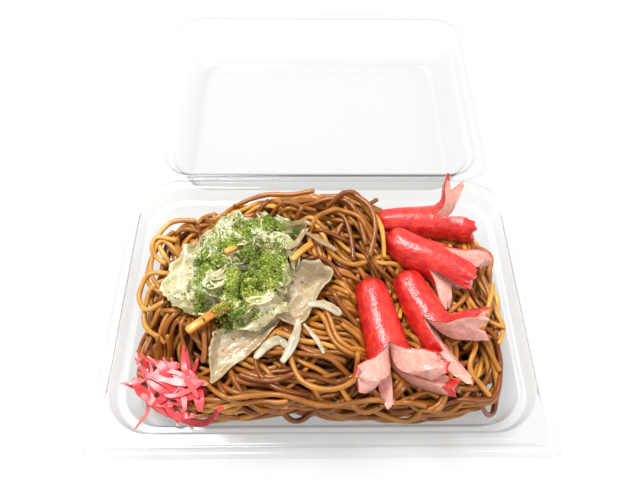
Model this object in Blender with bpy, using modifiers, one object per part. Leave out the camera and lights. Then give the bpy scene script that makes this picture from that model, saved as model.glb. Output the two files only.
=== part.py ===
"""Yakisoba in a clear hinged food pack, its lid laid open flat behind it.

Units are metres, +Z up. The origin is the middle of the tray's underside, +X runs to the
right along the pack and +Y runs to the back, towards the hinge and the lid.
Lengths below are in millimetres where a name says so, and MM turns them into metres.
"""
import math

import bmesh
import bpy
from mathutils import Matrix, Vector, noise
from mathutils.bvhtree import BVHTree

MM = 0.001
GAP = 0.35 * MM                 # clearance between pieces that lie on each other
PROBE_RINGS = 3                 # rays that feel for a neighbour over or under a place
PROBE_TURNS = 10

# ---------------------------------------------------------------- the pack
TRAY_LENGTH = 190 * MM          # along X, over the flange
TRAY_DEPTH = 137.3 * MM         # along Y, over the flange
LID_LENGTH = 182.4 * MM
LID_DEPTH = 135.4 * MM
RIM_HEIGHT = 25 * MM            # top of the tray's flange, and of the open lid's
PLASTIC = 0.6 * MM
HINGE_GAP = 0.3 * MM            # the scored line between the two flanges
HINGE_Y = (TRAY_DEPTH + HINGE_GAP) / 2
HINGE_Z = RIM_HEIGHT + HINGE_GAP / 2
CORNER_STEPS = 5
BEAD_HEIGHT = 0.9 * MM
BEAD_FADE_START = 30 * MM       # the bead dies away from here to the hinge,
BEAD_FADE_LENGTH = 20 * MM      # measured along Y from the tray's middle

# One row for each line around the tray, from its flange's edge in to its floor, in mm:
# inset at the sides, inset in front, inset at the back, height of the upper face,
# share of the bead's height, front corner radius, back corner radius.
TRAY_LINES = [
    (0.0, 0.0, 0.0, 25.0, 0, 3, 22),
    (1.0, 3.2, 1.0, 25.0, 0, 6, 21),
    (1.4, 3.7, 1.4, 25.0, 1, 6, 21),
    (2.2, 4.7, 2.2, 25.0, 1, 8, 20),
    (2.7, 5.3, 2.7, 25.0, 0, 9, 20),
    (4.5, 9.5, 4.8, 25.0, 0, 20, 20),
    (5.0, 10.1, 5.3, 24.2, 0, 19.5, 19.5),
    (6.3, 11.4, 6.6, 17.6, 0, 18.5, 18.5),
    (6.8, 11.9, 7.1, 17.0, 0, 18, 18),
    (9.2, 14.3, 9.5, 16.8, 0, 16.5, 16.5),
    (9.8, 14.9, 10.1, 16.2, 0, 16, 16),
    (11.4, 17.0, 12.0, 3.4, 0, 15, 15),
    (12.2, 17.8, 12.8, 1.5, 0, 14, 14),
    (14.0, 19.6, 14.6, 0.6, 0, 12, 12),
]

# The same for the lid as it lies open. Its front is the edge along the hinge, and its
# bead is a groove seen from here, so that it would fit over the tray's.
LID_LINES = [
    (0.0, 0.0, 0.0, 25.0, 0, 14, 16),
    (1.2, 1.2, 1.5, 25.0, 0, 14, 15),
    (1.6, 1.6, 1.9, 25.0, -1, 14, 15),
    (2.4, 2.4, 3.7, 25.0, -1, 14, 15),
    (2.8, 2.8, 4.1, 25.0, 0, 14, 15),
    (6.5, 4.8, 8.6, 25.0, 0, 16, 16),
    (7.0, 5.2, 9.1, 24.3, 0, 15.5, 15.5),
    (7.8, 5.8, 9.9, 21.4, 0, 15, 15),
    (8.4, 6.2, 10.5, 20.8, 0, 14.5, 14.5),
    (10.2, 7.4, 12.3, 20.6, 0, 13.5, 13.5),
    (10.8, 7.9, 12.9, 20.0, 0, 13, 13),
    (16.6, 10.8, 18.8, 2.8, 0, 11, 11),
    (17.8, 11.8, 20.0, 1.2, 0, 10, 10),
    (20.0, 13.8, 22.2, 0.6, 0, 9, 9),
]

# ---------------------------------------------------------------- the noodles
NOODLE_FLOOR = 1.2 * MM         # underside of the heap, just clear of the tray's floor
HEAP_AROUND = 84                # points around the outline
HEAP_RINGS = 14
HEAP_EDGE_HEIGHT = 7 * MM
HEAP_EDGE_POWER = 10            # how late the heap begins to fall to its edge,
HEAP_EDGE_STEEPNESS = 0.3       # and how steeply it ends (a smaller number is steeper)
# The heap's outline seen from above, in mm, anticlockwise from the front left corner.
HEAP_OUTLINE = [
    (-73, -48), (-40, -51), (0, -51.5), (40, -51.5), (70, -48),
    (79.5, -36), (82.5, -12), (83, 10), (80.5, 33),
    (62, 44), (38, 50), (14, 55.5), (-12, 56), (-34, 51.5),
    (-58, 44), (-74, 31), (-80, 10), (-80.5, -12), (-82, -34),
]
# Broad swells of its top, in mm: centre x, centre y, reach in x, reach in y, height.
HEAP_LEVEL = 27
HEAP_SWELLS = [
    (-38, 10, 30, 30, 9),       # the mound that carries the cabbage
    (-3, 50, 44, 26, 9),        # curls piled against the back
    (5, -10, 30, 25, 2),
    (58, 5, 25, 40, -2),        # the hollow that the wieners lie in
]
HEAP_REACH = 7 * MM             # half the span of its faces, which dip under what lies on it
RING_CROWDING = 1.35            # above 1, a heap's rings lie closer together at its edge
LUMP_SIZE = 11 * MM
LUMP_HEIGHT = 1.6 * MM

# ---------------------------------------------------------------- the wieners
WIENER_SIDES = 12
LEG_SECTIONS = 6
LEG_BEND_RADIUS = 13 * MM       # of a leg's inner edge, where the leg is curled tightly
LEG_BEND_SHARE = 0.6            # how much of a leg a gentler bend takes up
KERF = 0.5 * MM                 # how far a cut leg's inner edge draws back
LEG_NARROWING = 0.12            # how much a leg's width shrinks beside its cut,
LEG_SPREAD = 0.45               # and how much of it the leg regains towards its end,
LEG_SPREAD_START = 0.3          # from this share of its length on
LEG_TIP = 0.8                   # share of a leg's length where its end begins to taper
# Distance from the tied end in mm, and share of the full radius there.
HEAD_PROFILE = [(0, 0.22), (0.7, 0.45), (2.0, 0.66), (4.0, 0.83), (7.0, 0.94), (11.0, 1.0)]
# Each wiener: tied end and middle of the slit plane in mm, radius in mm, how far the
# body bows sideways in mm, turn of the first cut in degrees, and its legs. Each leg:
# sides of the body that it takes, outward bend and side bend in degrees, length in mm.
WIENERS = {
    "wiener_1": ((20.5, 5.5, 34.5), (28.0, -28.5, 33.5), 8.1, 0.0, 0, [
        (2, 86, 0, 24), (4, 74, 32, 30), (2, 52, 0, 31), (2, 22, 0, 23), (2, 66, 0, 28)]),
    "wiener_2": ((36.5, 9.5, 33.5), (46.0, -13.0, 33.5), 7.8, 0.0, 0, [
        (2, 6, 0, 17), (5, 76, 26, 31), (2, 56, -40, 29), (3, 16, 0, 26)]),
    "wiener_3": ((31.0, 28.5, 35.5), (51.0, 15.0, 35.5), 8.0, 1.5, -60, [
        (3, 50, 0, 25), (3, 4, 0, 20), (3, 36, 0, 28), (3, 20, 0, 20)]),
    "wiener_4": ((26.5, 41.0, 27.5), (53.0, 40.0, 28.5), 8.0, 0.0, -30, [
        (4, 26, 0, 22), (2, 104, 0, 32), (2, 50, -34, 28), (4, 4, 0, 20)]),
}

# ---------------------------------------------------------------- the toppings
LEAF_THICKNESS = 1.1 * MM
LEAF_AROUND = 22
LEAF_RINGS = 3
# Cabbage leaves in the order in which they lie: outline seen from above, in mm.
LEAVES = {
    "cabbage_left": [(-65, 25), (-55, 34), (-47, 32), (-49, 14), (-44, 2), (-52, -4),
                     (-64, -7), (-71, 0), (-70, 13)],
    "cabbage_tip": [(-46, -22), (-38, -15), (-26, -14), (-18, -14), (-27, -25),
                    (-37, -33), (-45.5, -41), (-47, -33)],
    "cabbage_right": [(-20, 8), (-7, 10), (4.5, 6), (-2, -4), (-7, -14.5), (-13, -17),
                      (-21, -13), (-22, -3)],
    "cabbage_front": [(-65, -7), (-55, -1), (-44, 0), (-38, -8), (-45, -14), (-54, -14),
                      (-61, -10)],
    "cabbage_middle": [(-52, 20), (-36, 27), (-19, 22), (-17, 4), (-24, -9), (-37, -12),
                       (-49, -5), (-54, 8)],
    "cabbage_top": [(-44, 39), (-31, 40), (-15, 35), (-6, 26), (-16, 23), (-28, 24),
                    (-42, 25)],
    "cabbage_curl": [(-39, -17), (-36, -11), (-27, -9), (-18, -7), (-15, -11),
                     (-25, -18), (-33, -20)],
}
# Soft strips and bean sprouts: points of the centre line in mm, radius in mm.
STRIPS = {
    "onion_strip_1": ([(-17, 31), (-11, 30), (-5, 27)], 1.3),
    "onion_strip_2": ([(-9, 23), (-2, 21), (6, 16)], 1.3),
    "onion_strip_3": ([(-15, 14), (-11, 18), (-8, 23)], 1.3),
    "sprout_1": ([(-26, -29), (-21, -26), (-17, -22)], 1.9),
    "sprout_2": ([(-12, -17.5), (-13, -24), (-17, -32)], 1.9),
    "sprout_3": ([(-5, -9), (1, -10), (7, -13)], 1.8),
    "sprout_4": ([(-8, -18), (-3, -24), (0, -31)], 1.0),
}
# Carrot batons: both ends in mm, width and height in mm.
CARROTS = {
    "carrot_1": ((-55.5, -21.5), (-40, -13), 3.0, 2.4),
    "carrot_2": ((-13, 9), (-5, 17), 2.8, 2.2),
    "carrot_3": ((-42, 12.5), (-38.5, 14.5), 2.8, 2.2),
}
# The heap of red pickled ginger in the front left corner.
GINGER_OUTLINE = [(-80, -41), (-71, -47), (-58, -47), (-51.5, -43), (-53, -35),
                  (-60, -28), (-70, -22), (-79, -29)]
GINGER_BASE = 19 * MM
GINGER_EDGE = 1.5 * MM
GINGER_HEIGHT = 6.5 * MM        # above its edge
GINGER_AROUND = 24
GINGER_RINGS = 4


# ---------------------------------------------------------------- helpers
def clear_scene():
    for old in list(bpy.data.objects):
        bpy.data.objects.remove(old, do_unlink=True)


def make_material(name, colour, roughness, alpha=1.0):
    material = bpy.data.materials.new(name)
    material.use_nodes = True
    shader = material.node_tree.nodes["Principled BSDF"]
    shader.inputs["Base Color"].default_value = (*colour, 1.0)
    shader.inputs["Roughness"].default_value = roughness
    shader.inputs["Metallic"].default_value = 0.0
    shader.inputs["Alpha"].default_value = alpha
    return material


def add_object(name, data, material, collection):
    piece = bpy.data.objects.new(name, data)
    piece.data.materials.append(material)
    collection.objects.link(piece)
    return piece


def mesh_from(name, points, faces):
    mesh = bpy.data.meshes.new(name)
    mesh.from_pydata([tuple(point) for point in points], [], faces)
    mesh.validate()
    return mesh


def face_outward(mesh):
    """Turns a closed mesh's faces to point out of it."""
    shell = bmesh.new()
    shell.from_mesh(mesh)
    bmesh.ops.recalc_face_normals(shell, faces=shell.faces)
    shell.to_mesh(mesh)
    shell.free()
    return mesh


def smooth(mesh, sharp_degrees):
    mesh.shade_smooth()
    mesh.set_sharp_from_angle(angle=math.radians(sharp_degrees))
    return mesh


def closed_curve(corners, count):
    """Points at equal parameter steps on a closed Catmull-Rom curve through corners."""
    size = len(corners)
    points = []
    for step in range(count):
        place = step * size / count
        index = int(place)
        t = place - index
        a, b, c, d = (Vector(corners[(index + k - 1) % size]) for k in range(4))
        points.append(0.5 * (2 * b + (c - a) * t + (2 * a - 5 * b + 4 * c - d) * t * t
                             + (3 * b - a - 3 * c + d) * t ** 3))
    return points


def open_curve(corners, count):
    """Points on a quadratic curve that runs through three corners."""
    a, b, c = (Vector(corner) for corner in corners)
    handle = 2 * b - (a + c) / 2
    steps = [k / (count - 1) for k in range(count)]
    return [(1 - t) ** 2 * a + 2 * t * (1 - t) * handle + t * t * c for t in steps]


def interpolate(table, place):
    for (x0, y0), (x1, y1) in zip(table, table[1:]):
        if place <= x1:
            return y0 + (y1 - y0) * (place - x0) / (x1 - x0)
    return table[-1][1]


# ---------------------------------------------------------------- the pack
def rounded_line(half_length, front, back, radii):
    """Points around a rectangle whose front and back corners have their own radii."""
    front_radius, back_radius = radii
    corners = [
        (-half_length + front_radius, front + front_radius, front_radius, 180),
        (half_length - front_radius, front + front_radius, front_radius, 270),
        (half_length - back_radius, back - back_radius, back_radius, 0),
        (-half_length + back_radius, back - back_radius, back_radius, 90),
    ]
    points = []
    for x, y, radius, start in corners:
        for step in range(CORNER_STEPS + 1):
            angle = math.radians(start + 90 * step / CORNER_STEPS)
            points.append((x + radius * math.cos(angle), y + radius * math.sin(angle)))
    return points


def bead_share(y):
    """The bead is whole in front and gone where the lid folds."""
    return min(1.0, max(0.0, 1 - (y - BEAD_FADE_START) / BEAD_FADE_LENGTH))


def pressed_sheet(name, length, front, back, lines, fades):
    """A thin pressed tray: its upper face as lines joined into a sheet, with a floor."""
    points = []
    for side, near, far, height, bead, front_radius, back_radius in lines:
        line = rounded_line(length / 2 - side * MM, front + near * MM, back - far * MM,
                            (front_radius * MM, back_radius * MM))
        for x, y in line:
            share = bead_share(y) if fades else 1.0
            points.append((x, y, height * MM + bead * share * BEAD_HEIGHT))
    around = len(points) // len(lines)
    faces = []
    for row in range(len(lines) - 1):
        for k in range(around):
            a = row * around + k
            b = row * around + (k + 1) % around
            faces.append((a, b, b + around, a + around))
    last = (len(lines) - 1) * around
    faces.append(tuple(range(last, last + around)))
    return smooth(mesh_from(name, points, faces), 35)


def thicken(piece, thickness):
    """Gives a sheet its thickness below or outside the face that it models."""
    shell = piece.modifiers.new("wall", "SOLIDIFY")
    shell.thickness = thickness
    shell.offset = -1
    shell.use_even_offset = True


def build_tray(collection, material):
    mesh = pressed_sheet("pack_base", TRAY_LENGTH, -TRAY_DEPTH / 2, TRAY_DEPTH / 2,
                         TRAY_LINES, fades=True)
    thicken(add_object("pack_base", mesh, material, collection), PLASTIC)


def build_lid(collection, material):
    """The lid hangs on an empty that stands on the hinge line."""
    hinge = bpy.data.objects.new("lid_hinge", None)
    hinge.location = (0, HINGE_Y, HINGE_Z)
    collection.objects.link(hinge)
    near_edge = HINGE_GAP / 2
    mesh = pressed_sheet("pack_lid", LID_LENGTH, near_edge, near_edge + LID_DEPTH,
                         LID_LINES, fades=False)
    mesh.transform(Matrix.Translation((0, 0, -HINGE_Z)))
    lid = add_object("pack_lid", mesh, material, collection)
    lid.parent = hinge
    thicken(lid, PLASTIC)


# ---------------------------------------------------------------- wieners
def arch(point_a, point_b, bow, share):
    """A point on the body's centre line, which bows sideways between its two ends."""
    along = point_b - point_a
    sideways = along.cross(Vector((0, 0, 1))).normalized()
    return point_a + along * share + sideways * bow * 4 * share * (1 - share)


def wiener_mesh(name, head, slit, radius, bow, first_cut, legs):
    """A wiener slit lengthwise from its middle on, its legs curled outwards.

    The body is a loft of rings. At the slit plane the ring splits into sectors that
    share the middle point, and each sector is swept on along its own bent path.
    """
    head = Vector(head) * MM
    slit = Vector(slit) * MM
    radius = radius * MM
    length = (slit - head).length
    axis = (slit - head).normalized()
    side = axis.cross(Vector((0, 0, 1))).normalized()
    up = side.cross(axis)
    turns = [math.radians(first_cut + 360 * k / WIENER_SIDES) for k in range(WIENER_SIDES)]
    spokes = [side * math.cos(turn) + up * math.sin(turn) for turn in turns]

    stations = [distance * MM for distance, share in HEAD_PROFILE]
    spare = length - stations[-1]
    stations += [stations[-1] + spare * k / 4 for k in range(1, 5)]
    points = []
    for station in stations:
        middle = arch(head, slit, bow * MM, station / length)
        reach = radius * interpolate(HEAD_PROFILE, station / MM)
        points += [middle + spoke * reach for spoke in spokes]
    faces = [tuple(range(WIENER_SIDES))]
    for row in range(len(stations) - 1):
        for k in range(WIENER_SIDES):
            a = row * WIENER_SIDES + k
            b = row * WIENER_SIDES + (k + 1) % WIENER_SIDES
            faces.append((a, b, b + WIENER_SIDES, a + WIENER_SIDES))
    ring = (len(stations) - 1) * WIENER_SIDES
    points.append(slit)
    centre = len(points) - 1

    first = 0
    for sides, outward, sideways, leg_length in legs:
        indices = [(first + k) % WIENER_SIDES for k in range(sides + 1)]
        add_leg(points, faces, ring, centre, indices, axis, radius,
                math.radians(first_cut + 360 * (first + sides / 2) / WIENER_SIDES),
                (side, up), (outward, sideways), leg_length * MM)
        first += sides
    return smooth(face_outward(mesh_from(name, points, faces)), 40)


def add_leg(points, faces, ring, centre, indices, axis, radius, turn, frame, bends, length):
    side, up = frame
    outward, sideways = bends
    out = side * math.cos(turn) + up * math.sin(turn)
    across = up * math.cos(turn) - side * math.sin(turn)
    bend = math.hypot(outward, sideways)
    lean = math.atan2(sideways, outward)
    pivot = axis.cross(out * math.cos(lean) + across * math.sin(lean))
    half = math.pi * (len(indices) - 1) / WIENER_SIDES
    previous = [centre] + [ring + index for index in indices]
    place = Vector(points[centre])
    bent_length = max(LEG_BEND_RADIUS * math.radians(bend), LEG_BEND_SHARE * length)
    for section in range(1, LEG_SECTIONS + 1):
        share = section / LEG_SECTIONS
        midway = min(1.0, (share - 0.5 / LEG_SECTIONS) * length / bent_length)
        reached = min(1.0, share * length / bent_length)
        place = place + Matrix.Rotation(math.radians(bend * midway), 3, pivot) @ axis \
            * (length / LEG_SECTIONS)
        turned = Matrix.Rotation(math.radians(bend * reached), 3, pivot)
        spread = 1 - LEG_NARROWING * min(1.0, share * 3) \
            + LEG_SPREAD * max(0.0, share - LEG_SPREAD_START)
        taper = max(0.0, share - LEG_TIP) / (1 - LEG_TIP)
        reach = radius * (1 - 0.1 * share - 0.2 * taper)
        current = [len(points)]
        points.append(place + turned @ out * KERF)
        for k in range(len(indices)):
            angle = half * (2 * k / (len(indices) - 1) - 1) * spread
            spoke = out * math.cos(angle) + across * math.sin(angle)
            current.append(len(points))
            points.append(place + turned @ spoke * reach)
        for k in range(len(current)):
            after = (k + 1) % len(current)
            faces.append((previous[k], previous[after], current[after], current[k]))
        previous = current
    faces.append(tuple(previous))


# ---------------------------------------------------------------- what lies on what
def heap_top(x, y):
    """Height of the noodles' smooth top at a place away from their edge."""
    height = HEAP_LEVEL
    for cx, cy, reach_x, reach_y, rise in HEAP_SWELLS:
        across = (x / MM - cx) / reach_x
        along = (y / MM - cy) / reach_y
        height += rise * math.exp(-across * across - along * along)
    return height * MM


class Pile:
    """The pieces laid so far, asked for the highest or lowest face over a place."""

    def __init__(self):
        self.trees = []
        self.corners = []

    def lay(self, piece):
        bpy.context.view_layer.update()
        graph = bpy.context.evaluated_depsgraph_get()
        evaluated = piece.evaluated_get(graph)
        mesh = evaluated.to_mesh()
        corners = [piece.matrix_world @ vertex.co for vertex in mesh.vertices]
        self.trees.append(BVHTree.FromPolygons(corners, [p.vertices for p in mesh.polygons]))
        self.corners += corners
        evaluated.to_mesh_clear()

    def probe(self, x, y, reach, start, direction, choose, best):
        """Looks along a vertical ray and rays round it for the face that choose picks."""
        places = [(x, y)]
        for ring in range(1, PROBE_RINGS + 1):
            radius = reach * ring / PROBE_RINGS
            turns = [2 * math.pi * k / PROBE_TURNS for k in range(PROBE_TURNS)]
            places += [(x + radius * math.cos(a), y + radius * math.sin(a)) for a in turns]
        for place in places:
            for tree in self.trees:
                hit = tree.ray_cast((*place, start), (0, 0, direction))[0]
                if hit is not None:
                    best = choose(best, hit.z)
        return best

    def top(self, x, y, reach):
        return self.probe(x, y, reach, 1.0, -1, max, heap_top(x, y))

    def underside(self, x, y, reach):
        near = [c.z for c in self.corners if math.hypot(c.x - x, c.y - y) < reach]
        return self.probe(x, y, reach, -1.0, 1, min, min(near, default=1.0))


def leaf_mesh(name, outline, pile):
    """A leaf draped over what lies below it, as rings from its middle to its edge."""
    edge = closed_curve([(x * MM, y * MM) for x, y in outline], LEAF_AROUND)
    centre = sum(edge, Vector((0, 0))) / LEAF_AROUND
    places = [centre]
    for ring in range(1, LEAF_RINGS + 1):
        places += [centre.lerp(point, ring / LEAF_RINGS) for point in edge]
    points = []
    for place in places:
        height = pile.top(place.x, place.y, 3.5 * MM) + GAP + LEAF_THICKNESS
        points.append((place.x, place.y, height))
    faces = [(0, 1 + k, 1 + (k + 1) % LEAF_AROUND) for k in range(LEAF_AROUND)]
    for ring in range(LEAF_RINGS - 1):
        start = 1 + ring * LEAF_AROUND
        for k in range(LEAF_AROUND):
            a = start + k
            b = start + (k + 1) % LEAF_AROUND
            faces.append((a, a + LEAF_AROUND, b + LEAF_AROUND, b))
    return smooth(mesh_from(name, points, faces), 60)


def build_strip(name, corners, radius, pile, collection, material):
    """A soft strip or sprout: a bevelled curve that lies on the pile and tapers."""
    line = open_curve([(x * MM, y * MM) for x, y in corners], 7)
    heights = [pile.top(p.x, p.y, 1.3 * radius * MM) + radius * MM + GAP for p in line]
    curve = bpy.data.curves.new(name, "CURVE")
    curve.dimensions = "3D"
    curve.bevel_depth = radius * MM
    curve.bevel_resolution = 2
    curve.use_fill_caps = True
    spline = curve.splines.new("POLY")
    spline.points.add(len(line) - 1)
    for k, (point, place) in enumerate(zip(spline.points, line)):
        highest = max(heights[max(0, k - 1):k + 2])
        point.co = (place.x, place.y, highest, 1)
        point.radius = 0.55 + 0.45 * math.sin(math.pi * (k + 1) / (len(line) + 1))
    return add_object(name, curve, material, collection)


def build_carrot(name, start, end, size, pile, collection, material):
    """A cut baton with softened edges, laid on the highest face under it."""
    width, height = size
    start = Vector(start) * MM
    end = Vector(end) * MM
    mesh = bpy.data.meshes.new(name)
    baton = bmesh.new()
    bmesh.ops.create_cube(baton, size=1)
    bmesh.ops.scale(baton, vec=((end - start).length, width * MM, height * MM),
                    verts=baton.verts)
    baton.to_mesh(mesh)
    baton.free()
    piece = add_object(name, mesh, material, collection)
    heights = [pile.top(*start.lerp(end, k / 4), width * MM) for k in range(5)]
    middle = (start + end) / 2
    piece.location = (middle.x, middle.y, max(heights) + height * MM / 2 + GAP)
    piece.rotation_euler.z = math.atan2(end.y - start.y, end.x - start.x)
    rounding = piece.modifiers.new("rounding", "BEVEL")
    rounding.width = 0.4 * MM
    rounding.segments = 1
    return piece


def mound_mesh(name, outline, around, rings, floor, top):
    """A closed heap: rings drawn in from an outline, with a height for each point.

    floor gives the underside's height and its share of the outline, and top is asked
    for the height at a place and at a share of the way out to the edge.
    """
    edge = closed_curve([(x * MM, y * MM) for x, y in outline], around)
    centre = sum(edge, Vector((0, 0))) / around
    points = [(*centre, top(centre.x, centre.y, 0.0))]
    for ring in range(1, rings + 1):
        share = 1 - (1 - ring / rings) ** RING_CROWDING
        for point in edge:
            place = centre.lerp(point, share)
            points.append((*place, top(place.x, place.y, share)))
    floor_height, floor_share = floor
    points += [(*centre.lerp(point, floor_share), floor_height) for point in edge]
    faces = [(0, 1 + k, 1 + (k + 1) % around) for k in range(around)]
    for ring in range(rings):
        start = 1 + ring * around
        for k in range(around):
            a = start + k
            b = start + (k + 1) % around
            faces.append((a, a + around, b + around, b))
    last = 1 + rings * around
    faces.append(tuple(range(last + around - 1, last - 1, -1)))
    return smooth(face_outward(mesh_from(name, points, faces)), 50)


def lumps(x, y):
    """Uneven swells as of strands lying over each other, from -1 to 1."""
    return noise.noise(Vector((x / LUMP_SIZE, y / LUMP_SIZE, 0.37)))


def ginger_top(x, y, share):
    rise = GINGER_HEIGHT * math.sqrt(1 - share ** 3)
    rough = LUMP_HEIGHT * lumps(2 * x, 2 * y) * (1 - share)
    return GINGER_BASE + GINGER_EDGE + rise + rough


def noodle_top(pile):
    """The heap's top falls to its edge and dips under whatever lies on it."""
    def height(x, y, share):
        fall = (1 - share ** HEAP_EDGE_POWER) ** HEAP_EDGE_STEEPNESS
        free = HEAP_EDGE_HEIGHT + (heap_top(x, y) - HEAP_EDGE_HEIGHT) * fall
        free += LUMP_HEIGHT * lumps(x, y) * fall
        return min(free, pile.underside(x, y, HEAP_REACH) - GAP)
    return height


# ---------------------------------------------------------------- the whole
def main():
    clear_scene()
    collection = bpy.data.collections.new("yakisoba_pack")
    bpy.context.scene.collection.children.link(collection)
    clear_plastic = make_material("clear_plastic", (0.93, 0.95, 0.96), 0.08, alpha=0.25)
    noodle = make_material("sauced_noodle", (0.42, 0.2, 0.06), 0.4)
    sausage = make_material("red_wiener", (0.85, 0.08, 0.04), 0.3)
    cabbage = make_material("cabbage", (0.82, 0.85, 0.6), 0.4)
    sprout = make_material("bean_sprout", (0.85, 0.8, 0.62), 0.4)
    carrot = make_material("carrot", (0.85, 0.35, 0.05), 0.45)
    ginger = make_material("red_ginger", (0.85, 0.1, 0.15), 0.4)

    build_tray(collection, clear_plastic)
    build_lid(collection, clear_plastic)

    pile = Pile()
    for name, (head, slit, radius, bow, first_cut, legs) in WIENERS.items():
        mesh = wiener_mesh(name, head, slit, radius, bow, first_cut, legs)
        pile.lay(add_object(name, mesh, sausage, collection))
    for name, outline in LEAVES.items():
        leaf = add_object(name, leaf_mesh(name, outline, pile), cabbage, collection)
        thicken(leaf, LEAF_THICKNESS)
        pile.lay(leaf)
    for name, (corners, radius) in STRIPS.items():
        pile.lay(build_strip(name, corners, radius, pile, collection, sprout))
    for name, (start, end, width, height) in CARROTS.items():
        pile.lay(build_carrot(name, start, end, (width, height), pile, collection, carrot))
    ginger_heap = mound_mesh("ginger_heap", GINGER_OUTLINE, GINGER_AROUND, GINGER_RINGS,
                             (GINGER_BASE, 0.9), ginger_top)
    pile.lay(add_object("ginger_heap", ginger_heap, ginger, collection))
    noodles = mound_mesh("noodle_heap", HEAP_OUTLINE, HEAP_AROUND, HEAP_RINGS,
                         (NOODLE_FLOOR, 0.965), noodle_top(pile))
    add_object("noodle_heap", noodles, noodle, collection)


main()
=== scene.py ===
"""Looks of the yakisoba pack: clear plastic, sauced noodles, wieners, cabbage and ginger.

Lengths are in metres; MM turns a value in millimetres into metres. X runs to the right,
Y to the back and Z up, as in the frame. The food is laid in the order in which a cook
would lay it: each strand, leaf and strip settles on a map of the heights laid so far.
"""
import math

import bpy
import numpy as np
from mathutils import Matrix, Vector, noise
from mathutils.bvhtree import BVHTree


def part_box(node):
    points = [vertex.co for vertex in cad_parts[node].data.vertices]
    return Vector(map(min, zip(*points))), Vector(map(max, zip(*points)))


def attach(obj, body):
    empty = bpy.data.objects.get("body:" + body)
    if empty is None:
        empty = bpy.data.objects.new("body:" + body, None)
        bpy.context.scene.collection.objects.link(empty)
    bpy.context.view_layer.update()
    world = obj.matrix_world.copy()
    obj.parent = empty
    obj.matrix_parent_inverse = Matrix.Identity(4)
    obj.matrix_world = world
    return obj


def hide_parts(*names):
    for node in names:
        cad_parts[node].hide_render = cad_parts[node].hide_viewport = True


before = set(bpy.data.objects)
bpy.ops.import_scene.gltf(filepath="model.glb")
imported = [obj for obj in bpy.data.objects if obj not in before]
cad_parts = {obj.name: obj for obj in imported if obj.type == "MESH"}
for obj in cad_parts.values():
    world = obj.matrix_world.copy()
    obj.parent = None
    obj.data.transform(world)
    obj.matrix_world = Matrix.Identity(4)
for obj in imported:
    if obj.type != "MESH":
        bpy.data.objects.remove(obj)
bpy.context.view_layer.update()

MM = 0.001

# ---------------------------------------------------------------- the view
CAMERA_PLACE = (-4.5 * MM, -110.34 * MM, 259.08 * MM)
CAMERA_PITCH = 58.605           # degrees below the horizon
CAMERA_YAW = 1.522              # degrees to the right of +Y
CAMERA_ROLL = 1.212
CAMERA_LENS = 31.5              # on a sensor 36 mm wide
FLOOR_COLOUR = (0.38, 0.38, 0.38)
FLOOR_GLOW = 0.36               # the floor is a light table, which keeps it evenly white
WORLD_STRENGTH = 0.62

# ---------------------------------------------------------------- the pack
TRAY_LENGTH = 190 * MM
TRAY_DEPTH = 137.3 * MM
LID_LENGTH = 182.4 * MM
LID_DEPTH = 135.4 * MM
PLASTIC = 0.45 * MM
HINGE_GAP = 0.3 * MM
HINGE_Y = (TRAY_DEPTH + HINGE_GAP) / 2
TRAY_SHEET = 1.0, 0.7           # how much it greys what is seen at a slant, and mirrors
LID_SHEET = 0.8, 0.3
EDGE_ROUNDING = 0.5 * MM
CORNER_STEPS = 14
BEAD_HEIGHT = 0.9 * MM
BEAD_FADE_START = 30 * MM
BEAD_FADE_LENGTH = 20 * MM
# Lines around the tray from its flange's edge in to its floor, in mm: inset at the sides,
# in front and at the back, height, share of the bead's height, front and back corner radius.
TRAY_LINES = [
    (0.0, 0.0, 0.0, 25.0, 0, 3, 22),
    (1.0, 3.2, 1.0, 25.0, 0, 6, 21),
    (1.4, 3.7, 1.4, 25.0, 1, 6, 21),
    (2.2, 4.7, 2.2, 25.0, 1, 8, 20),
    (2.7, 5.3, 2.7, 25.0, 0, 9, 20),
    (4.5, 9.5, 4.8, 25.0, 0, 20, 20),
    (5.0, 10.1, 5.3, 24.2, 0, 19.5, 19.5),
    (6.3, 11.4, 6.6, 17.6, 0, 18.5, 18.5),
    (6.8, 11.9, 7.1, 17.0, 0, 18, 18),
    (9.2, 14.3, 9.5, 16.8, 0, 16.5, 16.5),
    (9.8, 14.9, 10.1, 16.2, 0, 16, 16),
    (11.4, 17.0, 12.0, 3.4, 0, 15, 15),
    (12.2, 17.8, 12.8, 1.5, 0, 14, 14),
    (14.0, 19.6, 14.6, 0.6, 0, 12, 12),
]
# The same for the lid as it lies open; its front is the edge along the hinge.
LID_LINES = [
    (0.0, 0.0, 0.0, 25.0, 0, 14, 16),
    (1.2, 1.2, 1.5, 25.0, 0, 14, 15),
    (1.6, 1.6, 1.9, 25.0, -1, 14, 15),
    (2.4, 2.4, 3.7, 25.0, -1, 14, 15),
    (2.8, 2.8, 4.1, 25.0, 0, 14, 15),
    (6.5, 4.8, 8.6, 25.0, 0, 16, 16),
    (7.0, 5.2, 9.1, 24.3, 0, 15.5, 15.5),
    (7.8, 5.8, 9.9, 21.4, 0, 15, 15),
    (8.4, 6.2, 10.5, 20.8, 0, 14.5, 14.5),
    (10.2, 7.4, 12.3, 20.6, 0, 13.5, 13.5),
    (10.8, 7.9, 12.9, 20.0, 0, 13, 13),
    (16.6, 10.8, 18.8, 2.8, 0, 11, 11),
    (17.8, 11.8, 20.0, 1.2, 0, 10, 10),
    (20.0, 13.8, 22.2, 0.6, 0, 9, 9),
]

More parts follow.
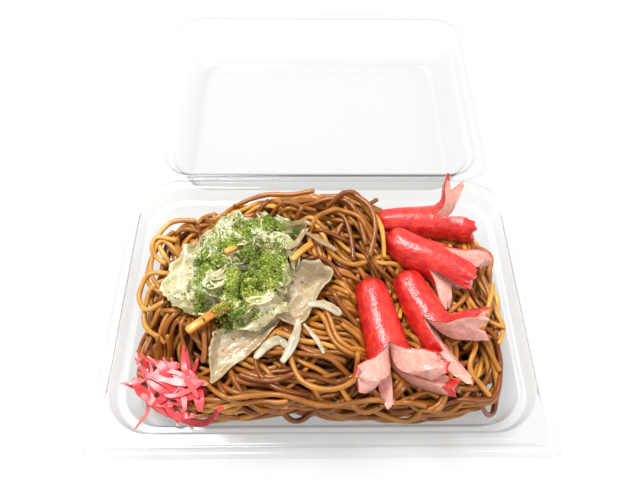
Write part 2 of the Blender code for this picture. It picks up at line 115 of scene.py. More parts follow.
# ---------------------------------------------------------------- the noodles
CELL = 0.8 * MM                 # of the map of heights
NOODLE_RADIUS = 1.13 * MM
NOODLE_SIDES = 8
STEP = 1.5 * MM                 # between the rings of a strand
TIGHTEST_TURN = 6.5 * MM        # radius
CORE_DEPTH = 7 * MM             # of the core under the heap's top, coloured nearly black as painted shade
CORE_INSET = 5 * MM
CORE_LEAST = 3 * MM             # the core ends where it would be lower than this
CORE_BOTTOM = 1.4 * MM
CORE_STRIDE = 2                 # cells between the core's points
EDGE_MARGIN = 3.2 * MM          # nearer to the heap's edge, strands turn back
STRAND_LENGTHS = (70 * MM, 240 * MM)
SWAY_LENGTHS = (95 * MM, 42 * MM, 17 * MM)      # of a strand's long and short sways,
SWAY_STRENGTHS = (0.70, 0.55, 0.32)             # and how far they turn it, in radians
STEERING = 0.2                  # share of its error that a strand mends at each step
SAG = 0.012 * MM                # at each round of settling
SINKING = 0.35 * MM             # how far a strand may press into what lies below
FIELD_REACH = 16 * MM           # how far a lay line steers the strands around it
STRAND_COUNT = 250
COMPANION_CHANCE = 0.35         # that a strand may run beside the one before,
COMPANION_GAP = (2.2, 0.9)      # this far away and swinging, over a noodle's radius,
COMPANION_WAVE = 60 * MM        # once in this length
RIPPLES = ((0.06, 23 * MM), (0.05, 7.3 * MM))   # of a strand's thickness: share, length
EDGE_STRANDS = 38
EDGE_LOWEST = 4 * MM            # of the strands along the walls,
EDGE_RISE = 13 * MM             # and how far up they are spread
EDGE_GAP = (0.9 * MM, 1.3 * MM)     # how far they stay from the wall, and swing
EDGE_ENDS = 7 * MM              # how far their ends turn away from it
EDGE_SWINGS = (2.6 * MM, 1.2 * MM)  # up and down, in long and short waves
BACK_ROOM = 0.8 * MM            # how far strands may stand over the heap's outline
BACK_LINE = 48 * MM             # behind this y;
BACK_BLEND = 14 * MM            # over this length further to the front
FRONT_ROOM = 20 * MM            # they get this much more room
# Strands that stand out, laid last: points in mm, and how far the middle and the far end
# rise above the line between the two ends.
LOOSE_STRANDS = [
    ([(-13, 33), (-7, 41), (3, 45), (12, 42), (17, 33), (20, 20)], 1.8, 0),
    ([(-8, 28), (0, 37), (9, 36), (13, 26), (14, 13)], 1.5, 0),
    ([(-3, 12), (-6, 23), (-2, 33), (7, 38), (17, 33), (25, 21)], 1.2, 0),
    ([(10, 47), (19, 41), (27, 29), (28, 15)], 2.0, 0),
    ([(14, 45), (22, 37), (24, 26), (21, 13)], 1.5, 0),
    ([(2, 41), (10, 45), (19, 44), (27, 49)], 0.0, 3.5),
    ([(-28, -24), (-27, -36), (-18, -44), (-6, -45)], 1.0, 0),
    ([(-14, -30), (-9, -42), (2, -46), (12, -42), (14, -31)], 1.5, 0),
    ([(-34, -38), (-22, -41), (-8, -38), (6, -40), (22, -35)], 1.0, 0),
    ([(-38, -48), (-20, -46), (0, -50), (22, -47), (42, -49)], 0.5, 0),
    ([(8, -18), (18, -27), (16, -38), (25, -46)], 1.0, 0),
    ([(58, -10), (66, -22), (62, -34), (69, -45)], 1.0, 0),
    ([(73, 14), (76, -3), (70, -18), (75, -34)], 1.0, 0),
    ([(62, -24), (70, -16), (76, 2)], 1.0, 5),
    ([(-70, 31), (-78, 23), (-80, 8), (-71, 0)], -3.5, 0),
    ([(-68, 10), (-78, 2), (-79, -12), (-69, -21)], -3.5, 0),
    ([(-60, 36), (-71, 36), (-77, 27), (-70, 15)], 0.0, 0),
    ([(-66, 20), (-75, 26), (-79, 14), (-74, 4), (-66, -2)], -2.0, 0),
    ([(-69, 11), (-79, 10), (-83, 1), (-78, -7), (-70, -5)], -5.0, 0),
    ([(-68, 26), (-77, 27), (-78, 20), (-72, 15)], -5.0, 0),
    ([(-42, 44), (-28, 48), (-14, 47), (-4, 48)], 0.5, 0),
]
# Lines along which the strands of each part of the heap tend to lie, in mm.
LAY_LINES = [
    [(-60, -49), (0, -51), (72, -49)],
    [(-28, -30), (-10, -36), (10, -36), (30, -42)],
    [(-20, -42), (0, -45), (40, -46)],
    [(-10, -12), (8, -20), (22, -24)],
    [(-6, 0), (10, -4), (18, -14)],
    [(-8, 22), (8, 12), (16, 4)],
    [(-12, 36), (0, 42), (12, 30), (18, 12)],
    [(-6, 44), (8, 48), (18, 36), (24, 18)],
    [(4, 52), (18, 42), (28, 24), (30, 8)],
    [(-36, 44), (-20, 48), (0, 51)],
    [(-60, 38), (-46, 46), (-30, 48)],
    [(-78, 26), (-74, 8), (-78, -18)],
    [(-70, 30), (-70, 4), (-72, -22)],
    [(-66, -6), (-64, -20), (-50, -34)],
    [(-60, -12), (-50, -28), (-36, -36)],
    [(66, -20), (66, -36), (56, -44)],
    [(74, 20), (74, -10), (70, -40)],
    [(60, 36), (74, 24), (78, 0)],
]

# ---------------------------------------------------------------- the wieners
WIENER_SIDES = 12               # the cuts lie between them
SIDE_PARTS = 5                  # faces around each of the sides
BODY_STEP = 0.9 * MM
LEG_SECTIONS = 22
CUT_PARTS = 6                   # faces across a cut, from skin to middle
HEAD_LENGTH = 6.5 * MM          # over which the tied end rounds off
HEAD_WIDTH = 0.80               # share of the radius there,
BODY_WIDENING = 0.26            # and how much it grows towards the cuts
LEG_BEND_RADIUS = 13 * MM
LEG_BEND_SHARE = 0.6
KERF = 0.5 * MM
LEG_NARROWING = 0.12            # of a leg's width just after the cut,
LEG_SPREAD = 0.45               # and how it opens again
LEG_SPREAD_START = 0.3
LEG_TIP = 0.8                   # share of a leg's length from which it tapers,
SKIN_TIP = 0.87                 # and from which a long leg is red all round,
LONG_LEG = 29 * MM              # because it reaches the skin over the far end
LEG_EDGE_ANGLE = 48             # degrees; sharper edges are not smoothed
PUCKER = 0.24                   # depth of the folds at the tied end, over the radius,
PUCKER_REACH = 4.2 * MM         # how far along they fade,
PUCKER_FOLDS = 8                # and how many there are
# The knot at the tied end: place along the body, and share of its radius.
KNOT = [(-1.5 * MM, 0.05), (-1.3 * MM, 0.13), (-0.7 * MM, 0.17), (-0.2 * MM, 0.12)]
# Each wiener: tied end and middle of the slit plane in mm, radius in mm, how far the
# body bows sideways in mm, turn of the first cut in degrees, and its legs. Each leg:
# sides of the body that it takes, outward bend and side bend in degrees, length in mm,
# its twist in degrees, and how far it narrows to a point.
WIENERS = {
    "wiener_1": ((20.5, 5.5, 34.5), (27.2, -26.5, 33.5), 8.6, 0.0, -30, [
        (4, 88, 0, 25, 50, 0), (4, 74, -12, 27, -45, 0), (2, 22, -56, 33, 0, 0),
        (2, 8, 0, 23, 0, 0.3)]),
    "wiener_2": ((36.5, 9.5, 33.5), (46.0, -13.0, 33.5), 8.3, 0.0, -30, [
        (3, 6, 0, 17, 0, 0), (4, 74, 20, 29, -25, 0), (2, 50, -30, 28, 0, 0.3),
        (3, -8, -12, 29, 0, 0.6)]),
    "wiener_3": ((31.0, 28.5, 35.5), (51.0, 15.0, 35.5), 8.5, 1.5, -60, [
        (3, 50, 0, 25, 20, 0.3), (3, 4, 0, 20, 0, 0), (3, 36, 0, 26, -25, 0),
        (3, 20, 0, 20, 0, 0)]),
    "wiener_4": ((26.5, 41.0, 27.5), (53.0, 40.0, 28.5), 8.1, 0.0, -30, [
        (4, 26, 0, 22, 0, 0), (2, 91, 17, 32, 0, 0.75), (2, 38, -46, 27, 0, 0.6),
        (4, 4, 0, 20, 0, 0)]),
}

# ---------------------------------------------------------------- the toppings
LEAF_THICKNESS = 0.7 * MM
LEAF_AROUND = 110               # points along a leaf's edge
LEAF_RINGS = 26
LEAF_SINKING = 0.4 * MM
FOLD_LENGTH = 20 * MM
FOLD_WIDTH = 8 * MM
FOLD_WARP = 14 * MM             # size of the bends in the folds
CABBAGE_TORN = 0.12             # how ragged a leaf's edge is, as a share of its size
ONION_TORN = 0.03
# Leaves in the order in which they lie: how green, how far they crinkle in mm, the way
# their folds run in degrees, and their outline seen from above in mm.
LEAVES = {
    "cabbage_left": (0.22, 3.2, 62, [
        (-63, 21), (-56, 27), (-47, 29), (-49, 14), (-44, 2), (-52, -4),
        (-64, -7), (-71, 0), (-69, 12)]),
    "cabbage_tip": (0.0, 0.6, 55, [
        (-46, -22), (-38, -15), (-26, -14), (-18, -14), (-27, -25),
        (-37, -33), (-45.5, -41), (-47, -33)]),
    "cabbage_right": (0.1, 2.1, 35, [
        (-20, 8), (-7, 10), (4.5, 6), (-2, -4), (-7, -14.5), (-13, -17),
        (-21, -13), (-22, -3)]),
    "cabbage_front": (0.15, 2.3, -20, [
        (-65, -7), (-55, -1), (-44, 0), (-38, -8), (-45, -14), (-54, -14),
        (-61, -10)]),
    "cabbage_middle": (0.55, 2.4, 25, [
        (-52, 20), (-36, 27), (-19, 22), (-17, 4), (-24, -9), (-37, -12),
        (-49, -5), (-54, 8)]),
    "cabbage_top": (0.4, 2.8, -25, [
        (-45, 33), (-34, 36), (-19, 35), (-6, 27), (-16, 21), (-28, 22),
        (-42, 23)]),
    "cabbage_curl": (0.15, 2.9, 30, [
        (-39, -17), (-36, -11), (-27, -9), (-18, -7), (-15, -11),
        (-25, -18), (-33, -20)]),
}
ONION_LEAVES = ("cabbage_tip", "cabbage_right")     # see-through layers of onion
SHREDS = 54                     # small crumpled pieces on the middle of the heap
SHRED_MIDDLE = (-34, 11)        # mm
SHRED_REACH = (20, 21)          # mm
SHRED_LENGTHS = (9, 20)         # mm
SHRED_WIDTHS = (3.5, 8)         # mm
SHRED_ROWS = 22                 # of points along a shred,
SHRED_COLUMNS = 12              # and across it
SHRED_THICKNESS = 0.6 * MM
TOPPING_ROOM = 50.3 * MM        # height under the closed lid for all that lies on top
PRESSED = 5 * MM                # depth under it over which heights are pressed together
ARC_STEP = 1 * MM               # between the rings of strips, batons and ginger
STRIP_FLATNESS = 0.48           # height over width
# Soft strips and bean sprouts: points of the centre line in mm, radius in mm.
STRIPS = {
    "onion_strip_1": ([(-17, 31), (-11, 30), (-5, 27)], 1.3),
    "onion_strip_2": ([(-9, 23), (-2, 21), (6, 16)], 1.3),
    "onion_strip_3": ([(-15, 14), (-11, 18), (-8, 23)], 1.3),
    "sprout_1": ([(-28, -31), (-20, -24), (-15.5, -27)], 2.1),
    "sprout_2": ([(-10.5, -16), (-12, -25), (-16.5, -34)], 2.0),
    "sprout_3": ([(-6, -10), (1, -10), (7, -14)], 2.0),
    "sprout_4": ([(-8, -18), (-3, -24), (0, -31)], 1.0),
}
# Carrot batons: both ends in mm, width and height in mm.
CARROTS = {
    "carrot_1": ((-55.5, -21.5), (-40.5, -12.5), 3.7, 2.6),
    "carrot_2": ((-13, 9), (-5, 17), 2.8, 2.2),
    "carrot_3": ((-42, 12.5), (-38.5, 14.5), 2.8, 2.2),
}
# The ginger's larger bands: points of the centre line in mm, half width in mm and how
# pale each is. They lie over smaller ones that are scattered by chance.
GINGER_BANDS = [
    ([(-82, -34), (-76, -42), (-63, -47)], 1.7, 0.1),
    ([(-77, -42), (-67, -48), (-54, -51)], 1.6, 0.2),
    ([(-62, -31), (-69, -33), (-71, -42)], 2.3, 0.0),
    ([(-70, -30), (-66, -38), (-68, -46)], 2.0, 0.1),
    ([(-59, -33), (-53, -40), (-50, -51)], 2.0, 0.4),
    ([(-66, -47), (-56, -52), (-41, -49)], 1.2, 0.3),
    ([(-74, -38), (-63, -43), (-51, -46)], 1.3, 0.5),
    ([(-60, -23), (-59, -32), (-54, -43)], 1.1, 0.65),
    ([(-75, -35), (-67, -38), (-57, -48)], 1.5, 0.2),
    ([(-55, -26), (-57, -34), (-62, -43)], 1.0, 0.5),
    ([(-65, -33), (-60, -39), (-57, -50)], 1.2, 0.35),
    ([(-69, -38), (-60, -38), (-48, -41)], 1.3, 0.95),
    ([(-66, -43), (-58, -43), (-50, -40)], 0.9, 0.8),
    ([(-66, -34), (-58, -37), (-51, -46)], 1.0, 0.75),
]
BAND_WIDENING = 1.4             # for the edges that a thin ribbon loses
GINGER_FLATNESS = 0.3           # height over width
GINGER_EDGE_ANGLE = 35          # degrees
GINGER_STRIPS = 20
GINGER_RADIUS = 1.2 * MM
GINGER_LENGTHS = (18, 34)       # mm
GINGER_STEP = 1.1 * MM
GINGER_REACH = (17 * MM, 14 * MM)
GINGER_LOWER = 3.4 * MM         # how far the scattered strips stay under the heap's top
GINGER_LAY = (-0.75, 0.55)      # their usual heading and its spread, in radians
# Where the green flakes fell: middle and reach in mm, how many tufts, and how light they
# are, partly their own tone and partly painted shade for clumps in shadow; the darkest turn brown.
FLAKE_PATCHES = [
    ((-34, -2), (12, 7), 36, 0.62),
    ((-49, 11), (6, 10), 16, 0.34),
    ((-42, 17), (8, 7), 14, 0.5),
    ((-33, 25), (12, 4), 14, 0.42),
    ((-21, 28), (7, 4), 12, 0.25),
    ((-31, 14), (10, 6), 16, 0.14),
    ((-22, 7), (6, 7), 13, 0.6),
    ((-54, -6), (7, 5), 3, 0.5),
    ((-38, -14), (8, 5), 7, 0.5),
]
TUFT_FLAKES = 110               # in a middling tuft
TUFT_REACH = 2.7                # mm
STRAY_FLAKES = 1100
FLAKE_SIZES = (0.35, 1.1)       # mm
FLAKE_THICKNESS = 0.09 * MM     # half of it
FLAKE_TILT = 0.8                # radians
FLAKE_PILING = 0.07             # how much a flake raises the next one, over its size

# ---------------------------------------------------------------- the studio
LAMPS = {"key": ((-0.45, 0.5, 1.45), 0.6, 31),      # place and size in metres, watts
         "fill": ((0.9, -0.55, 1.1), 0.9, 10)}
LAMP_TARGET = (0, 0, 0.02)


# ---------------------------------------------------------------- meshes
def new_mesh(name, points, faces, material, attributes=None):
    """An object from points and faces, smooth, with named values for its points."""
    mesh = bpy.data.meshes.new(name)
    mesh.from_pydata(np.asarray(points).tolist(), [], faces)
    mesh.validate()
    mesh.shade_smooth()
    for title, values in (attributes or {}).items():
        values = np.asarray(values, dtype=np.float32)
        kind = "FLOAT_VECTOR" if values.ndim == 2 else "FLOAT"
        field = "vector" if values.ndim == 2 else "value"
        layer = mesh.attributes.new(title, kind, "POINT")
        layer.data.foreach_set(field, values.ravel())
    piece = bpy.data.objects.new(name, mesh)
    bpy.context.scene.collection.objects.link(piece)
    mesh.materials.append(material)
    return piece


def belongs(piece, body, node=None):
    """Says which body a piece moves with, and the node that it stands for."""
    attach(piece, body)
    if node is not None:
        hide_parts(node)


class Bundle:
    """Many closed meshes gathered into one piece, each with its own shade."""

    def __init__(self):
        self.points = []
        self.faces = []
        self.shades = []
        self.grains = []
        self.count = 0

    def add(self, points, faces, grain, shade):
        self.points.append(points)
        self.faces += [tuple(corner + self.count for corner in face) for face in faces]
        self.grains.append(grain)
        self.shades.append(np.full(len(points), shade))
        self.count += len(points)

    def piece(self, name, material, extra=None):
        return new_mesh(name, np.concatenate(self.points), self.faces, material,
                        {"grain": np.concatenate(self.grains),
                         "shade": np.concatenate(self.shades), **(extra or {})})


def unit(vector):
    return vector / np.linalg.norm(vector)


def unit_rows(vectors):
    return vectors / (np.linalg.norm(vectors, axis=1)[:, None] + 1e-12)


def bands(rows, around):
    """Faces between closed rows of points, each row with that many points around."""
    faces = []
    for row in range(rows - 1):
        for k in range(around):
            a = row * around + k
            b = row * around + (k + 1) % around
            faces.append((a, b, b + around, a + around))
    return faces


def tube(line, radii, sides, flatness=1.0, squareness=0.0):
    """Rings swept along a line with rounded ends: points, faces and grain coordinates."""
    line = np.asarray(line, dtype=float)
    steps = np.linalg.norm(np.diff(line, axis=0), axis=1)
    along = np.concatenate([[0], np.cumsum(steps)])
    tangents = unit_rows(np.gradient(line, axis=0))
    first, last = radii[0], radii[-1]
    line = np.concatenate([[line[0] - tangents[0] * 0.5 * first], line,
                           [line[-1] + tangents[-1] * 0.5 * last]])
    tangents = np.concatenate([tangents[:1], tangents, tangents[-1:]])
    radii = np.concatenate([[first * 0.62], radii, [last * 0.62]])
    along = np.concatenate([[along[0] - 0.5 * first], along, [along[-1] + 0.5 * last]])
    normals = np.empty_like(line)
    normal = np.cross(tangents[0], (0.0, 0.0, 1.0))
    if np.linalg.norm(normal) < 0.1:
        normal = np.cross(tangents[0], (0.0, 1.0, 0.0))
    for k, tangent in enumerate(tangents):
        normal = normal - tangent * normal.dot(tangent)
        normal /= np.linalg.norm(normal)
        normals[k] = normal
    others = np.cross(tangents, normals)
    turns = 2 * np.pi * np.arange(sides) / sides
    reach = 1 + squareness * np.cos(4 * turns)
    cosines = np.cos(turns) * reach
    sines = np.sin(turns) * reach * flatness
    rings = line[:, None] + radii[:, None, None] * (
        normals[:, None] * cosines[None, :, None] + others[:, None] * sines[None, :, None])
    grain = np.empty_like(rings)
    grain[..., 0] = radii[:, None] * cosines
    grain[..., 1] = radii[:, None] * sines
    grain[..., 2] = along[:, None]
    faces = bands(len(line), sides)
    faces.append(tuple(range(sides - 1, -1, -1)))
    top = (len(line) - 1) * sides
    faces.append(tuple(range(top, top + sides)))
    return rings.reshape(-1, 3), faces, grain.reshape(-1, 3)


# ---------------------------------------------------------------- the map of heights
class Surface:
    """Heights of what has been laid so far, on a square grid."""

    def __init__(self, low, high):
        self.low = np.array(low)
        self.size = np.ceil((np.array(high) - self.low) / CELL).astype(int) + 1
        self.xs = low[0] + CELL * np.arange(self.size[0])
        self.ys = low[1] + CELL * np.arange(self.size[1])
        self.height = np.zeros(self.size)

    def cells(self, points, reach):
        """Cells around each point, as two index arrays, and how far away they are."""
        middle = np.rint((points - self.low) / CELL).astype(int)
        span = np.arange(-int(np.ceil(reach / CELL)), int(np.ceil(reach / CELL)) + 1)
        shift = np.stack(np.meshgrid(span, span, indexing="ij"), -1).reshape(-1, 2)
        index = np.clip(middle[:, None] + shift, 0, self.size - 1)
        away = np.linalg.norm(self.low + index * CELL - points[:, None], axis=2)
        return index[..., 0], index[..., 1], away

    def support(self, points, radius):
        """Lowest heights at which a strand's centre line clears the surface."""
        i, j, away = self.cells(points, radius)
        lift = np.sqrt(np.maximum(radius ** 2 - away ** 2, 0))
        return np.where(away < radius, self.height[i, j] + lift, -1).max(axis=1)

    def lay(self, line, radius):
        """Raises the map to the top of a strand."""
        i, j, away = self.cells(line[:, :2], radius)
        inside = away < radius
        lift = np.sqrt(np.maximum(radius ** 2 - away ** 2, 0))
        tops = line[:, 2][:, None] + lift
        np.maximum.at(self.height, (i[inside], j[inside]), tops[inside])

    def nearest(self, points):
        """The cell nearest to each point, as two index arrays."""
        return np.clip(np.rint((points - self.low) / CELL).astype(int), 0, self.size - 1).T

    def sample(self, grid, points):
        i, j = self.nearest(points)
        return grid[i, j]


def shifted(grid, dx, dy):
    """The grid moved by whole cells, its edge values repeated."""
    moved = np.roll(grid, (dx, dy), axis=(0, 1))
    if dx > 0:
        moved[:dx] = grid[:1]
    if dx < 0:
        moved[dx:] = grid[-1:]
    if dy > 0:
        moved[:, :dy] = moved[:, dy:dy + 1]
    if dy < 0:
        moved[:, dy:] = moved[:, dy - 1:dy]
    return moved


def spread_extreme(grid, reach, choose):
    """Each cell takes the highest or lowest value within reach of it."""
    best = grid.copy()
    span = int(reach / CELL)
    for dx in range(-span, span + 1):
        for dy in range(-span, span + 1):
            if dx * dx + dy * dy <= span * span:
                best = choose(best, shifted(grid, dx, dy))
    return best


def blurred(grid, rounds):
    for _ in range(rounds):
        grid = (2 * grid + shifted(grid, 1, 0) + shifted(grid, -1, 0)
                + shifted(grid, 0, 1) + shifted(grid, 0, -1)) / 6
    return grid


def mesh_tree(mesh):
    return BVHTree.FromPolygons([v.co for v in mesh.vertices],
                                [p.vertices for p in mesh.polygons])


def node_shape(node):
    return mesh_tree(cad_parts[node].data)


def heights_over(surface, tree, start, direction, missing):
    """Heights where vertical rays through the cells meet a shape."""
    found = np.full(surface.size, missing)
    for i, x in enumerate(surface.xs):
        for j, y in enumerate(surface.ys):
            hit = tree.ray_cast((x, y, start), (0, 0, direction))[0]
            if hit is not None:
                found[i, j] = hit.z
    return found


def top_of(surface, node):
    """Heights of a CAD node's top over each cell, 0 where it isn't."""
    return heights_over(surface, node_shape(node), 0.1, -1, 0.0)


def settle(floor, rounds, sag):
    """Heights of a soft strand that lies on a floor and spans its dips."""
    heights = floor.copy()
    for _ in range(rounds):
        middle = 0.5 * (heights[:-2] + heights[2:]) - sag
        heights[1:-1] = np.maximum(floor[1:-1], middle)
        heights[0] = max(floor[0], heights[1] - sag)
        heights[-1] = max(floor[-1], heights[-2] - sag)
    return heights


def smoothed(values, rounds):
    """Values, or points, each drawn towards its neighbours; the ends stay."""
    values = values.copy()
    for _ in range(rounds):
        values[1:-1] = 0.25 * values[:-2] + 0.5 * values[1:-1] + 0.25 * values[2:]
    return values


# ---------------------------------------------------------------- materials
def principled(name, **values):
    """A material whose Principled shader has these socket values."""
    material = bpy.data.materials.new(name)
    material.use_nodes = True
    shader = material.node_tree.nodes["Principled BSDF"]
    for title, value in values.items():
        shader.inputs[title.replace("_", " ")].default_value = value
    return material, material.node_tree, shader


def attribute(tree, title, output="Fac"):
    node = tree.nodes.new("ShaderNodeAttribute")
    node.attribute_name = title
    return node.outputs[output]


def noise_of(tree, vector, scale, detail=3.0, roughness=0.5, stretch=None):
    """Cloudy noise; stretch is its frequency along each axis."""
    if stretch is not None:
        mapping = tree.nodes.new("ShaderNodeMapping")
        mapping.inputs["Scale"].default_value = stretch
        tree.links.new(vector, mapping.inputs["Vector"])
        vector = mapping.outputs["Vector"]
    node = tree.nodes.new("ShaderNodeTexNoise")
    node.inputs["Scale"].default_value = scale
    node.inputs["Detail"].default_value = detail
    node.inputs["Roughness"].default_value = roughness
    tree.links.new(vector, node.inputs["Vector"])
    return node.outputs["Fac"]


def ramp(tree, factor, stops):
    """A colour ramp; stops are (position, colour)."""
    node = tree.nodes.new("ShaderNodeValToRGB")
    points = node.color_ramp.elements
    while len(points) < len(stops):
        points.new(0.5)
    for point, (position, colour) in zip(points, stops):
        point.position = position
        point.color = (*colour, 1.0) if len(colour) == 3 else colour
    tree.links.new(factor, node.inputs["Fac"])
    return node.outputs["Color"]


def level(tree, factor, low, high, start=0.0, end=1.0):
    """A value from start to end turned into one from low to high."""
    node = tree.nodes.new("ShaderNodeMapRange")
    for title, value in (("From Min", start), ("From Max", end), ("To Min", low), ("To Max", high)):
        node.inputs[title].default_value = value
    tree.links.new(factor, node.inputs["Value"])
    return node.outputs["Result"]


def mixed(tree, factor, a, b, blend="MIX"):
    """Two colours mixed; each is a socket or a plain colour, and so is the factor."""
    node = tree.nodes.new("ShaderNodeMix")
    node.data_type = "RGBA"
    node.blend_type = blend
    for socket, value in ((node.inputs[0], factor), (node.inputs[6], a), (node.inputs[7], b)):
        if isinstance(value, bpy.types.NodeSocket):
            tree.links.new(value, socket)
        elif isinstance(value, (int, float)):
            socket.default_value = value
        else:
            socket.default_value = (*value, 1.0)
    return node.outputs[2]


def combined(tree, operation, a, b):
    """The result of a sum or product; each side is a socket or a number."""
    node = tree.nodes.new("ShaderNodeMath")
    node.operation = operation
    for socket, value in zip(node.inputs, (a, b)):
        if isinstance(value, bpy.types.NodeSocket):
            tree.links.new(value, socket)
        else:
            socket.default_value = value
    return node.outputs[0]


def bump(tree, shader, height, distance, coat_share=0.25):
    """Relief on the surface, and a fainter copy of it on the wet film over it."""
    for socket, depth in (("Normal", distance), ("Coat Normal", distance * coat_share)):
        node = tree.nodes.new("ShaderNodeBump")
        node.inputs["Strength"].default_value = 0.9
        node.inputs["Distance"].default_value = depth
        tree.links.new(height, node.inputs["Height"])
        tree.links.new(node.outputs["Normal"], shader.inputs[socket])


def dress(tree, shader, colour, streak, smoothest, roughest, depth):
    """Gives the shader its colour, and a roughness and relief that follow the streaks."""
    tree.links.new(colour, shader.inputs["Base Color"])
    tree.links.new(level(tree, streak, smoothest, roughest), shader.inputs["Roughness"])
    bump(tree, shader, streak, depth)


def noodle_material():
    """Soy-sauce brown, oily, each strand a little lighter or darker than the next, partly by chance
    and partly as painted light and shade by where it lies.
    """
    material, tree, shader = principled(
        "sauced_noodle", Roughness=0.42, IOR=1.4, Subsurface_Weight=0.15,
        Subsurface_Radius=(1.0, 0.45, 0.12), Subsurface_Scale=1.4 * MM,
        Specular_IOR_Level=0.4, Coat_Weight=0.3, Coat_Roughness=0.14)
    grain = attribute(tree, "grain", "Vector")
    shade = attribute(tree, "shade")
    blotch = noise_of(tree, grain, 90, 3, 0.6)
    streak = noise_of(tree, grain, 500, 2, 0.6, (1, 1, 0.16))
    strand = ramp(tree, shade, [(0.0, (0.17, 0.044, 0.006)), (0.35, (0.29, 0.096, 0.012)),
                                (0.7, (0.47, 0.190, 0.026)), (1.0, (0.68, 0.34, 0.065))])
    stained = mixed(tree, level(tree, blotch, -0.5, 1.2), strand, (0.15, 0.036, 0.005))
    colour = mixed(tree, level(tree, streak, -0.2, 0.75), stained,
                   mixed(tree, 1.0, stained, (1.6, 1.6, 1.4), "MULTIPLY"))
    dress(tree, shader, colour, streak, 0.26, 0.56, 0.3 * MM)
    return material


def core_shade_material():
    """Painted shade: nearly black brown, standing for the shade in the gaps between the strands."""
    material, tree, shader = principled("noodle_core_painted_shade", Roughness=0.6)
    place = tree.nodes.new("ShaderNodeTexCoord").outputs["Object"]
    patches = noise_of(tree, place, 260, 3)
    # painted shade: near-black browns stand for the shade between the strands
    colour = ramp(tree, patches, [(0.3, (0.035, 0.011, 0.003)), (0.7, (0.10, 0.036, 0.008))])
    tree.links.new(colour, shader.inputs["Base Color"])
    bump(tree, shader, patches, 1.0 * MM)
    return material


# ---------------------------------------------------------------- the noodles
def line_field(surface):
    """Direction in which strands tend to lie at each cell, as cosine and sine of twice it."""
    xs, ys = np.meshgrid(surface.xs, surface.ys, indexing="ij")
    cosines = np.zeros(surface.size)
    sines = np.zeros(surface.size)
    for line in LAY_LINES:
        for (ax, ay), (bx, by) in zip(line, line[1:]):
            ax, ay, bx, by = (value * MM for value in (ax, ay, bx, by))
            dx, dy = bx - ax, by - ay
            share = np.clip(((xs - ax) * dx + (ys - ay) * dy) / (dx * dx + dy * dy), 0, 1)
            away = np.hypot(xs - ax - share * dx, ys - ay - share * dy)
            weight = np.exp(-(away / FIELD_REACH) ** 2)
            angle = 2 * math.atan2(dy, dx)
            cosines += weight * math.cos(angle)
            sines += weight * math.sin(angle)
    return cosines, sines


